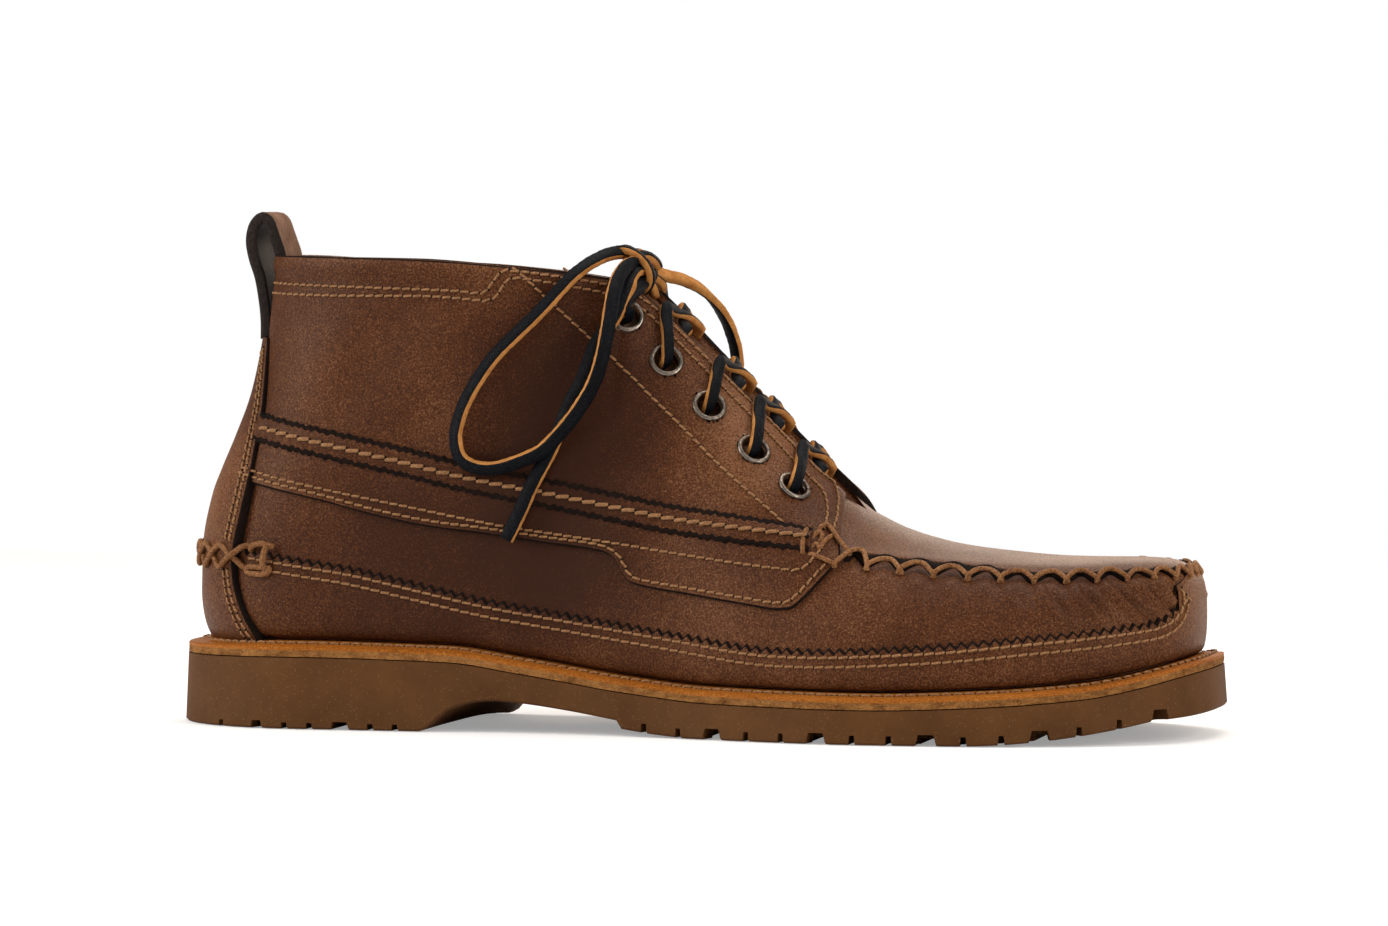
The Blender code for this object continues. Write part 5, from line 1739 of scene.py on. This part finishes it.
def bandProfile(edge, raw, rise):
    # across, lift, and whether the edge's wave moves it
    half = [
        (-edge - 0.1, -0.75, True), (-edge, 0.25, True), (-edge + 0.3, 0.62, True), (-edge + raw, 0.5, True),
        (-edge + raw + 0.15, 0.62, True), (-2.1, 0.8, False), (-1.3, 0.95, False), (-0.7, 1.1, False),
    ]
    return half + [(0.0, rise, False)] + [(-across, lift, waved) for across, lift, waved in half[::-1]]


def bandWave(run, across):
    turn = 2.0 * math.pi * run / band["period"] + (1.3 if across > 0.0 else 0.0)
    return band["wave"] * np.sin(turn + 0.8 * np.sin(run * 0.37)) + 0.16 * np.sin(run * 1.1 + across)


def makeBand(side):
    points, normals = onSide(side, bandLine, 0.5)
    points = smoothed(ground.seat(points, normals), 12)
    up, run = upAlong(points, normals, side), lengths(points)
    profile = bandProfile(band["half"], band["raw"], band["rise"])
    upper = []
    for across, lift, waved in profile:
        shift = across + (bandWave(run, across) if waved else 0.0 * run)
        upper.append(points + up * shift[:, None] + normals * lift)
    top = np.array(upper).transpose(1, 0, 2)
    across = np.array([part[0] for part in profile])[None, :, None] * 0.98
    body, faces = outwardSheet(top, (points - normals * 1.1)[:, None] + up[:, None] * across)
    marks = markColumns(faces, top, [1] * 3 + [0] * 10 + [1] * 3, 1)
    slots = [materials["leather"], materials["rawEdge"]]
    thing = addObject("band" + sideNames[side], body, faces, slots, marks)
    return finish(thing, "leather"), (points, normals)


bands = {side: makeBand(side) for side in sides}
groundBand = Ground([bands[side][0] for side in sides])
print("bands ready")


# Thongs

def addThongs(name, lines, radius):
    thing = grow(name, lines, cordTree, {
        "Radius": radius * mm, "Sides": 8, "Leather": materials["thong"],
    })
    return finish(thing, "leather")


def placeOn(points, normals, side, spots):
    # spots of (distance along, across, lift) read off a line on the surface
    run, spots = lengths(points), np.asarray(spots, float)
    rows = (points, upAlong(points, normals, side), normals)
    at, up, out = (readAt(spots[:, 0], run, what) for what in rows)
    return at + up * spots[:, 1:2] + unit(out) * spots[:, 2:3], unit(out)


mocArc = [
    # along in pitches, across and lift in millimetres, from one hole over a crest to the next
    (-0.53, -1.9, -0.9), (-0.48, -1.5, 0.6), (-0.38, -0.7, 1.2), (-0.26, 0.3, 1.35), (-0.13, 1.2, 1.35),
    (0.02, 1.5, 1.3), (0.15, 1.4, 1.25), (0.26, 0.7, 1.15), (0.36, -0.3, 1.0), (0.45, -1.2, 0.8),
    (0.52, -1.7, 0.2), (0.55, -1.9, -0.9),
]


def wholeSeam():
    # the seam from the outer side over the toe to the inner side, on one run
    lateral, medial = seamRuns[-1], seamRuns[1]
    points = np.vstack([lateral[1], medial[1][::-1][1:]])
    normals = np.vstack([lateral[2], medial[2][::-1][1:]])
    return points, unit(smoothed(normals, 6))


def makeMocThong():
    points, normals = wholeSeam()
    total = lengths(points)[-1]
    lines = []
    for k in range(1, seam["count"] - 1):
        centre = crests[k]
        shake = math.sin(k * 2.3) * 0.25
        low = 0.55 if abs(centre - total / 2.0) < 32.0 else 1.0
        turn = 1.0 if centre < total / 2.0 else -1.0
        wide = turn * gaps[min(k, len(gaps) - 1)] / gaps.mean() * seam["pitch"]
        spots = []
        for i, (along, across, lift) in enumerate(mocArc):
            place = min(max(centre + along * wide + shake, 0.0), total)
            spots.append((place, across + 0.15 * math.sin(k * 1.3 + i), lift * (low if lift > 0.0 else 1.0)))
        path, facing = placeOn(points, normals, -1, spots)
        path = spline(path, 0.7)
        lines.append((path, spread(facing, np.linspace(0.0, 1.0, len(path)))))
    return lines


startBar = [
    # wraps of thong where the band meets the moc seam, as seen from the side, with their lift
    [(189.7, 59.2, 0.0), (188.8, 57.2, 1.7), (188.5, 55.0, 2.2), (188.8, 52.7, 2.0), (189.1, 51.2, 0.6),
     (189.3, 50.6, -0.4)],
    [(190.2, 51.6, 0.2), (192.1, 50.8, 1.5), (194.1, 50.1, 1.5), (196.1, 49.3, 1.4), (197.8, 48.9, 0.6),
     (198.4, 48.7, -0.4)],
    [(191.7, 56.8, 0.2), (192.5, 58.2, 1.4), (193.8, 58.6, 1.6), (195.1, 57.5, 1.6), (196.3, 56.3, 1.6),
     (197.7, 54.8, 1.5),
     (199.2, 53.4, 1.3), (200.6, 52.3, 1.1), (201.8, 51.5, -0.2)],
    [(197.3, 48.6, -0.2), (198.6, 49.4, 0.9), (200.0, 50.5, 1.3), (201.6, 51.5, 1.5), (203.4, 52.0, 1.5),
     (205.0, 51.6, 1.3), (206.1, 50.2, 1.1), (206.9, 48.6, 0.8), (207.2, 47.7, -0.4)],
    [(196.3, 56.6, 0.6), (194.7, 54.8, 1.4), (193.8, 53.3, 1.3), (193.2, 51.6, 0.4)],
    [(190.8, 54.6, 0.2), (191.4, 56.4, 1.2), (192.6, 56.8, 1.4), (193.4, 55.5, 1.4), (192.8, 54.2, 0.6)],
    [(190.9, 52.6, 0.2), (191.8, 53.8, 1.2), (193.0, 53.2, 1.2), (193.4, 52.0, 0.5)],
]


def sideThongs(table):
    # strands given as x, height and lift, laid on both sides
    lines = []
    for side in sides:
        for spots in table:
            spots = np.array(spots)
            points, normals = skins[side].seen(spots[:, 0], spots[:, 1])
            path = spline(points + normals * spots[:, 2:3], 0.6)
            lines.append((path, spread(normals, np.linspace(0.0, 1.0, len(path)))))
    return lines


addThongs("mocThong", makeMocThong() + sideThongs(startBar), seam["thong"])
print("moc seam sewn")


# Braid round the heel

braid = {
    "half": 3.2, "waves": 4, "lift": 1.1, "cross": 0.5, "radius": 0.88, "endX": 24.6, "height": 48.5,
    "clear": 0.9,
}
braidEnd = [
    # top strand, upright bar and low loop in front of the braid, as seen from the side, with their lift
    [(25.6, 50.4, -0.2), (26.6, 51.6, 1.0), (29.4, 52.4, 1.2), (31.6, 52.2, 1.3), (33.2, 51.6, 0.2)],
    [(32.0, 52.4, 0.6), (31.4, 50.6, 1.9), (30.9, 48.4, 2.0), (30.7, 46.4, 1.8), (31.2, 44.6, 0.8)],
    [(31.2, 45.4, 0.9), (28.5, 45.7, 1.1), (26.0, 45.7, 1.1), (24.9, 44.9, 1.0), (25.6, 44.0, 1.0),
     (28.5, 43.7, 1.1), (30.9, 43.8, 1.1), (32.3, 44.6, 1.0), (31.8, 45.8, 0.7)],
]


def heelLine():
    # from the outer side round the heel's back to the inner side
    parts = []
    for side in sides:
        last = float(skins[side].station(braid["endX"], braid["height"]))
        points, normals = skins[side].at(np.linspace(0.0, last, 60), braid["height"])
        points = points + normals * mix(backstay["lift"][0], 0.6, ease(20.0, 23.5, points[:, :1]))
        parts.append((points, normals))
    points, normals = (np.vstack([parts[0][k][::-1], parts[1][k][1:]]) for k in (0, 1))
    points = resample(points, 0.5)
    normals = spread(normals, np.linspace(0.0, 1.0, len(points)))
    return smoothed(points, 10), unit(smoothed(normals, 10))


def makeBraid():
    points, normals = heelLine()
    total = lengths(points)[-1]
    lines = []
    run = np.arange(0.0, total, 0.6)
    phase = 2.0 * math.pi * braid["waves"] * run / total - math.pi / 2.0
    for sign in (1.0, -1.0):
        across = sign * braid["half"] * np.arcsin(0.97 * np.sin(phase)) / math.asin(0.97)
        lift = braid["lift"] + braid["cross"] * sign * np.cos(phase)
        ends = np.minimum(run, total - run)
        lift = lift * ease(0.0, 1.2, ends) - 0.4 * ease(1.2, 0.0, ends)
        spots = np.stack([run, across, lift - braid["clear"] * 0.4], axis=1)
        lines.append(placeOn(points, normals, -1, spots))
    return lines + sideThongs(braidEnd)


addThongs("heelBraid", makeBraid(), braid["radius"])
print("heel braid ready")


# Stitching

rowA = [
    (24.5, 73.2), (27.2, 72.5), (50.1, 67.9), (74.2, 63.4), (99.7, 58.6), (118.3, 56.0), (136.2, 53.6),
    (148, 51.9), (160, 50.3), (171, 48.9), (183, 47.3), (187.6, 46.9), (190.4, 48.0), (193.2, 51.4),
]
sewnRows = [
    rowA,
    # collar, stepping up to the facing
    [(28.5, 126.6), (49, 125.9), (63.2, 125.5), (76.7, 125.1), (87, 124.7), (93.2, 124.1), (95.6, 124.5),
     (96.9, 125.8), (98.8, 128.4), (100.4, 130.0), (102.4, 130.4), (109.8, 129.5), (119, 128), (126.6, 126.5),
     (132.6, 124.6), (138.7, 120.9), (145.7, 114.5), (154.4, 106.0), (164.1, 96.6), (173.6, 87.4),
     (182.8, 78.0),
     (188.1, 72.9), (190.6, 71.0), (192.7, 68.4), (194.3, 65.6), (195.0, 63.2), (195.6, 61.2), (195.7, 58.9)],
    [(28.5, 123.7), (49, 123.2), (76.7, 123.2), (87, 122.7), (94.8, 122.0), (97.6, 122.4), (98.9, 123.4),
     (100.8, 126.2), (102.2, 127.8), (104.0, 128.3), (109, 127.7), (116, 126.4), (126, 124.3), (131.4, 122.6),
     (137.2, 119.3), (144.4, 113.0), (153.0, 104.6), (162.7, 95.2), (172.2, 86.0), (181.4, 76.6),
     (186.7, 71.5),
     (189.2, 69.2), (191.0, 66.9), (192.3, 64.4), (192.9, 62.6), (193.3, 61.0), (193.3, 58.6)],
    # down the quarter beside the eyelets
    [(104.2, 130.6), (106.5, 128.6), (125.1, 110.9), (148.1, 89.4), (164.4, 74.5), (181.6, 60.4)],
]
sewing = {
    "Pitch": 2.85, "Length": 2.25, "Width": 0.72, "Height": 0.34, "HoleSize": 0.42,
}


def sewRows(name, lines, tilt, **sizes):
    values = {key: value * mm for key, value in {**sewing, **sizes}.items()}
    thing = grow(name, lines, stitchTree, {
        **values, "Tilt": tilt, "Thread": materials["thread"], "Hole": materials["hole"],
    })
    return finish(thing, "leather")


def quarterRows(side):
    lines = []
    for index, table in enumerate(sewnRows):
        if index in (1, 2):
            table = [(x, z - float(farDrop(side, x))) for x, z in table]
        points, normals = onSide(side, table)
        if side > 0 and index == 1:
            behind = points[:, 0] < 176.0
            points, normals = points[behind], normals[behind]
        lines.append((ground.seat(points, normals, 0.12), normals))
    # a row just inside the quarter's lower edge
    points, normals = skins[side].seen(*readTable(quarterLow, np.linspace(0.02, 0.985, 220)))
    moved = resample(shifted(smoothed(points, 3), normals, 1.9, side), 0.8)
    facing = normals[np.linspace(0, len(normals) - 1, len(moved)).round().astype(int)]
    lines.append((ground.seat(moved, facing, 0.12), facing))
    return lines


def randRows(side):
    skin = skins[side]
    line = evenSteps(side, pinkedOn[side], 0.8)
    first, last = float(skin.station(*rand["start"])), float(skin.station(*rand["end"]))
    line = line[(line[:, 0] > first) & (line[:, 0] <= last + 0.3)]
    points, normals = skin.at(line[:, 0], line[:, 1])
    lines = []
    for offset in rand["sewnAt"]:
        moved = smoothed(shifted(points, normals, offset, side), 8)
        lines.append((ground.seat(moved, normals, 0.12), normals))
    return lines


def backstayRows(side):
    z = np.linspace(21.0, 107.0, 110)
    z = z[(z < 44.5) | (z > 53.0)]
    lines = []
    for behind in (1.9, 3.9):
        for part in (z[z < 50.0], z[z > 50.0]):
            point, normal = skins[side].at(backstayStation(side, part), part)
            back = upAlong(point, normal, 1)
            back = back * (-1.0 if back[:, 0].mean() > 0.0 else 1.0)
            moved = smoothed(point + back * behind, 2)
            lines.append((ground.seat(moved, normal, 0.12), normal))
    return lines


for side, word in sideNames.items():
    sewRows("quarterStitches" + word, quarterRows(side), 0.12)
    sewRows("randStitches" + word, randRows(side), 0.1, Pitch=3.0, Length=2.45, Width=0.75)
    sewRows("backstayStitches" + word, backstayRows(side), 0.12, Pitch=2.5, Length=1.9, Width=0.7)
    points, normals = bands[side][1]
    seated = groundBand.seat(points, normals, 0.15)
    keep = (points[:, 0] > 29.4) & (points[:, 0] < 188.0)
    sewRows("bandStitches" + word, [(seated[keep], normals[keep])], 0.2, Pitch=3.9, Length=3.4,
            Width=1.15, Height=0.5, HoleSize=0.75)


def ledgeRow():
    # the row that joins the upper to the sole, round the ledge
    lines = []
    for side in sides:
        x, y = outline(side, soleStations(0.8), 4.0)
        points = resample(np.stack([x, y, midsoleTop(x) + 0.72], axis=1), 0.8)
        lines.append((points, np.tile([0.0, 0.0, 1.0], (len(points), 1))))
    return lines


sewRows("ledgeStitches", ledgeRow(), 0.1, Pitch=3.2, Length=2.5, Width=0.8)
print("stitching ready")


# Eyelets, tongue, crossings and pull loop

def makeEyelets():
    points, normals, nodes = [], [], []
    for side, word in zip(sides, ("lateral", "medial")):
        for i, (centre, normal) in enumerate(eyeletPlaces(side)):
            points.append(centre + normal * eyelets["lift"])
            normals.append(normal)
            nodes.append(f"eyelet_{word}_{i + 1}")
    sizes = {key.capitalize(): eyelets[key] * mm for key in ("outer", "inner", "rise", "barrel")}
    values = {**sizes, "Metal": materials["metal"]}
    thing = grow("eyeletRings", [(np.array(points), normals)], eyeletTree, values)
    return finish(thing, "metal", *nodes)


makeEyelets()

forwardUp = np.array([0.62, 0.0, 0.78])
tongue = {"thick": 2.0, "clear": 1.1, "rows": 46, "columns": 33, "edge": 0.62}


def tonguePlace(side, x, share):
    # a point across the tongue: up the inside of the facing, then on to the middle
    edge = tongue["edge"]
    low = 1.72 + 0.2 * float(ease(185.0, 200.0, x))
    drop = shape["wall"] + tongue["clear"] + 0.9 * (1.0 - float(ease(134.0, 144.0, x)))
    if x >= shape["plugStart"]:
        place = upperPoint(side, x, mix(1.66, 2.0, share))
    elif share <= edge:
        place = upperPoint(side, x, mix(low, 2.0, share / edge))
    else:
        place = upperPoint(side, x, 2.0, beyond=(share - edge) / (1.0 - edge))
    return np.array(place, float), drop


def makeTongue():
    s = tongue
    stations = np.linspace(129.0, shape["throatEnd"], s["rows"])
    stations = np.concatenate([stations, [200.0, 203.0, 206.0, 210.0]])
    half = np.linspace(0.0, 1.0, s["columns"] // 2 + 1)
    shares = [(-1, v) for v in half[:-1]] + [(1, v) for v in half[::-1]]
    top = []
    for x in stations:
        limit = float(topPoint(1, x)[2]) - 1.2
        for side, share in shares:
            place, drop = tonguePlace(side, float(x), float(share))
            place = place - unit(np.array([0.62, side * 0.62 * (1.0 - share), 0.78])) * drop
            place[2] = min(place[2], limit)
            if share == 1.0 and x < shape["plugStart"]:
                place[1] = 0.0
            top.append(place)
    top = np.array(top).reshape(len(stations), len(shares), 3)
    top[1:-1] = (top[:-2] + 2.0 * top[1:-1] + top[2:]) / 4.0
    points, faces = outwardSheet(top, top - forwardUp * s["thick"])
    return finish(addObject("tonguePiece", points, faces, [materials["plug"]]), "leather", "tongue")


makeTongue()


throat = {
    "lean": (0.0, -2.4, 0.2, -1.8, -1.4), "across": 5.6, "lift": (1.9, 1.3), "scale": 0.9,
    # the way the grain faces, from the facing's edge on: ahead, to the strand's own side, and up
    "faces": [
        (0.35, 0.7, 0.6), (0.3, 0.9, 0.4), (0.25, 0.85, 0.5), (0.25, 0.5, 0.8), (0.3, 0.0, 0.9),
        (0.3, -0.3, 0.8),
        (0.2, -0.7, 0.6), (0.1, -0.9, 0.4),
    ],
}


def onThroat(side, x):
    # a point on the facing's edge
    return np.array([x, side * float(row(topLine, "half", x)), float(row(topLine, "z", x))])


def crossingStrand(side, i, over):
    # out of an eyelet, up over the facing's edge, across the tongue and under the other facing
    centre, normal = eyeletPlaces(side)[i]
    x = float(centre[0]) + throat["lean"][i]
    up, out = forwardUp, np.array([0.0, side * 1.0, 0.0])
    edge = onThroat(side, x)
    middle = onThroat(side, x + throat["across"] * 0.55) * np.array([1.0, 0.0, 1.0])
    far = onThroat(-side, x + throat["across"])
    mouth = centre + normal * 1.4 + np.array([0.1, 0.0, 0.9])
    lift = throat["lift"][0 if over > 0.0 else 1]
    points = [
        centre - normal * 2.4, mouth, mix(mouth, edge, 0.35) + normal * lift,
        mix(mouth, edge, 0.8) + normal * lift, edge + normal * (lift - 0.7) + up * (lift - 0.9),
        edge - out * 1.8 + np.array([0.7, 0.0, -0.5]) + up * (lift - 0.3),
        mix(edge, middle, 0.55) + up * (1.2 + 0.5 * over), middle + up * (0.9 + over),
        mix(far, middle, 0.5) + up * (0.6 + 0.5 * over), far + out * 2.7 + up * 0.5,
        far + out * 1.4 - up * 0.9, far - out * 0.4 - up * 3.4,
    ]
    turned = unit(np.array([0.74, side * 0.67, 0.12]))
    faces = [turned, turned, turned, turned + np.array([0.0, 0.0, 0.1])] + [
        (ahead, side * aside, above) for ahead, aside, above in throat["faces"]]
    return laceStrip(points, unit(np.array(faces)), throat["scale"])[1]


def makeCrossings():
    for i in range(1, len(eyelets["x"])):
        bodies = [crossingStrand(-1, i, 1.0), crossingStrand(1, i, -0.9)]
        finish(addLace(f"crossing{i + 1}", bodies), "lace", f"lace_crossing_{i + 1}")


def topStrand(side):
    # from the top eyelet to the knot
    centre, normal = eyeletPlaces(side)[0]
    points = [centre - normal * 2.4, centre + normal * 1.4 + np.array([0.1, 0.0, 0.8])]
    points += [(x, side * y, z) for x, y, z in (
        (134.7, 23.0, 120.0), (135.3, 19.6, 122.8), (136.2, 15.0, 125.4), (136.6, 9.0, 127.2),
        (135.6, 4.0, 128.6))]
    faces = [(ahead, side * aside, above) for ahead, aside, above in (
        (0.6, 0.5, -0.5), (0.6, 0.5, -0.5), (0.8, 0.3, -0.5), (0.8, 0.3, -0.5), (0.7, 0.4, 0.5),
        (0.5, 0.2, 0.9),
        (0.3, 0.0, 1.0))]
    return laceStrip(points, faces)[1]


makeCrossings()
finish(addLace("crossing1", [topStrand(-1), topStrand(1)]), "lace", "lace_crossing_1")
print("laced")


pull = {
    "rows": [
        (22.8, 110.4, 1), (22.9, 116, 0.9), (22.7, 122, 0.6), (22.0, 128.3, 0.3), (20.6, 133.5, 0.1),
        (19.7, 138.6, 0.1), (20.6, 143.0, 0.1), (22.9, 145.4, 0.1), (25.0, 144.4, 0.1), (26.1, 141.4, 0.2),
        (26.6, 138, 0.7), (27.2, 134.5, 1), (27.4, 129, 1), (27.4, 122, 1),
    ],
    "width": 17.2, "thick": 3.3, "bendRadius": 22.0,
}


def makePullLoop():
    s = pull
    path = spline([(x, bend, z) for x, z, bend in s["rows"]], 0.9)
    line, bend = path[:, [0, 2]], path[:, 1]
    tangent = unit(np.gradient(line, axis=0))
    normal = np.stack([-tangent[:, 1], tangent[:, 0]], axis=1)
    half = s["width"] / 2.0
    rim = np.array([0.0, 0.12, 0.45])
    y = np.concatenate([rim - half, np.linspace(1.0 - half, half - 1.0, 15), half - rim[::-1]])
    crown = np.clip((half - np.abs(y)) / 0.6, 0.0, 1.0)
    crown = np.sqrt(1.0 - (1.0 - crown) ** 2) * 0.5 + 0.5
    sheets = []
    for sign in (1.0, -1.0):
        offset = sign * s["thick"] / 2.0 * crown[None, :]
        x = line[:, :1] + bend[:, None] * y[None, :] ** 2 / (2.0 * s["bendRadius"]) + normal[:, :1] * offset
        z = line[:, 1:] + normal[:, 1:] * offset
        sheets.append(np.stack([x, np.broadcast_to(y, x.shape), z], axis=-1))
    points, faces = outwardSheet(*sheets)
    # the outer face takes the strap's face colour; the dyed edges are near-black, and the inside of the loop
    # is near-black as painted shade
    column = np.arange(len(y) - 1)
    marks = markColumns(faces, sheets[0], (column > 1) & (column < len(y) - 3), 0)
    thing = addObject("pullStrap", points, faces, [materials["strap"], materials["strapFace"]], marks)
    return finish(thing, "dark_leather", "pull_loop")


makePullLoop()


def makeInsole():
    stations = soleStations(2.4)
    rings = []
    for extra, rise in ((0.5, 0.3), (0.5, 2.2), (0.7, 2.7), (1.2, 2.9)):
        def inset(x, extra=extra):
            return row(sections, "foot", x) + shape["wall"] + extra

        rings.append(soleRing(stations, inset, lambda x, rise=rise: seatHeight(x) + rise))
    return finish(soleBody("insoleBoard", stations, rings, 12, [materials["lining"]]), "lining", "insole")


makeInsole()
print("all pieces ready")


# Floor and light

studio = {
    "floor": 1.7, "glow": 0.3, "sky": 0.22,
    "lamps": {
        # place, aim, width and height in metres, power, colour
        "top": ((0.10, 0.25, 1.0), (0.0, 0.0, 0.05), (1.0, 0.8), 7.5, (1.0, 0.93, 0.86)),
        "heel": ((-1.0, -0.45, 0.55), (0.0, 0.0, 0.07), (0.5, 0.9), 10.5, (1.0, 0.97, 0.94)),
        "toe": ((1.05, -0.5, 0.55), (0.0, 0.0, 0.05), (0.5, 0.9), 8.0, (1.0, 0.95, 0.9)),
        "front": ((-0.2, -1.3, 0.8), (0.0, 0.0, 0.06), (0.8, 0.6), 3.0, (1.0, 1.0, 1.0)),
        "back": ((0.1, 1.8, 0.5), (0.0, 0.0, 0.05), (2.4, 0.6), 12.0, (1.0, 0.8, 0.64)),
    },
}


def makeStudio(s):
    scene = bpy.context.scene
    scene.view_settings.view_transform = "Standard"
    bpy.ops.mesh.primitive_plane_add(size=s["floor"], location=(0.0, 0.0, -0.0002))
    floor = bpy.context.object
    floor.name = "floor"
    material, tree, shader, _ = newMaterial("paleFloor", 0.9)
    shader.inputs["Base Color"].default_value = (0.85, 0.85, 0.85, 1.0)
    shader.inputs["Emission Color"].default_value = (1.0, 1.0, 1.0, 1.0)
    seen = put(tree, "ShaderNodeLightPath").outputs["Is Camera Ray"]
    tree.links.new(calc(tree, "MULTIPLY", seen, s["glow"]), shader.inputs["Emission Strength"])
    floor.data.materials.append(material)
    world = bpy.data.worlds.new("studio")
    scene.world = world
    world.use_nodes = True
    sky = world.node_tree
    white = sky.nodes["Background"]
    white.inputs["Color"].default_value = (1.0, 1.0, 1.0, 1.0)
    seen = put(sky, "ShaderNodeLightPath").outputs["Is Camera Ray"]
    sky.links.new(levelsOf(sky, seen, newLow=s["sky"]), white.inputs["Strength"])
    for name, (place, aim, size, power, tint) in s["lamps"].items():
        light = bpy.data.lights.new(name, "AREA")
        light.shape = "RECTANGLE"
        light.size, light.size_y = size
        light.energy = power
        light.color = tint
        lamp = addThing(name, light)
        lamp.location = place
        lamp.rotation_euler = aimed(Vector(place), Vector(aim))


makeStudio(studio)
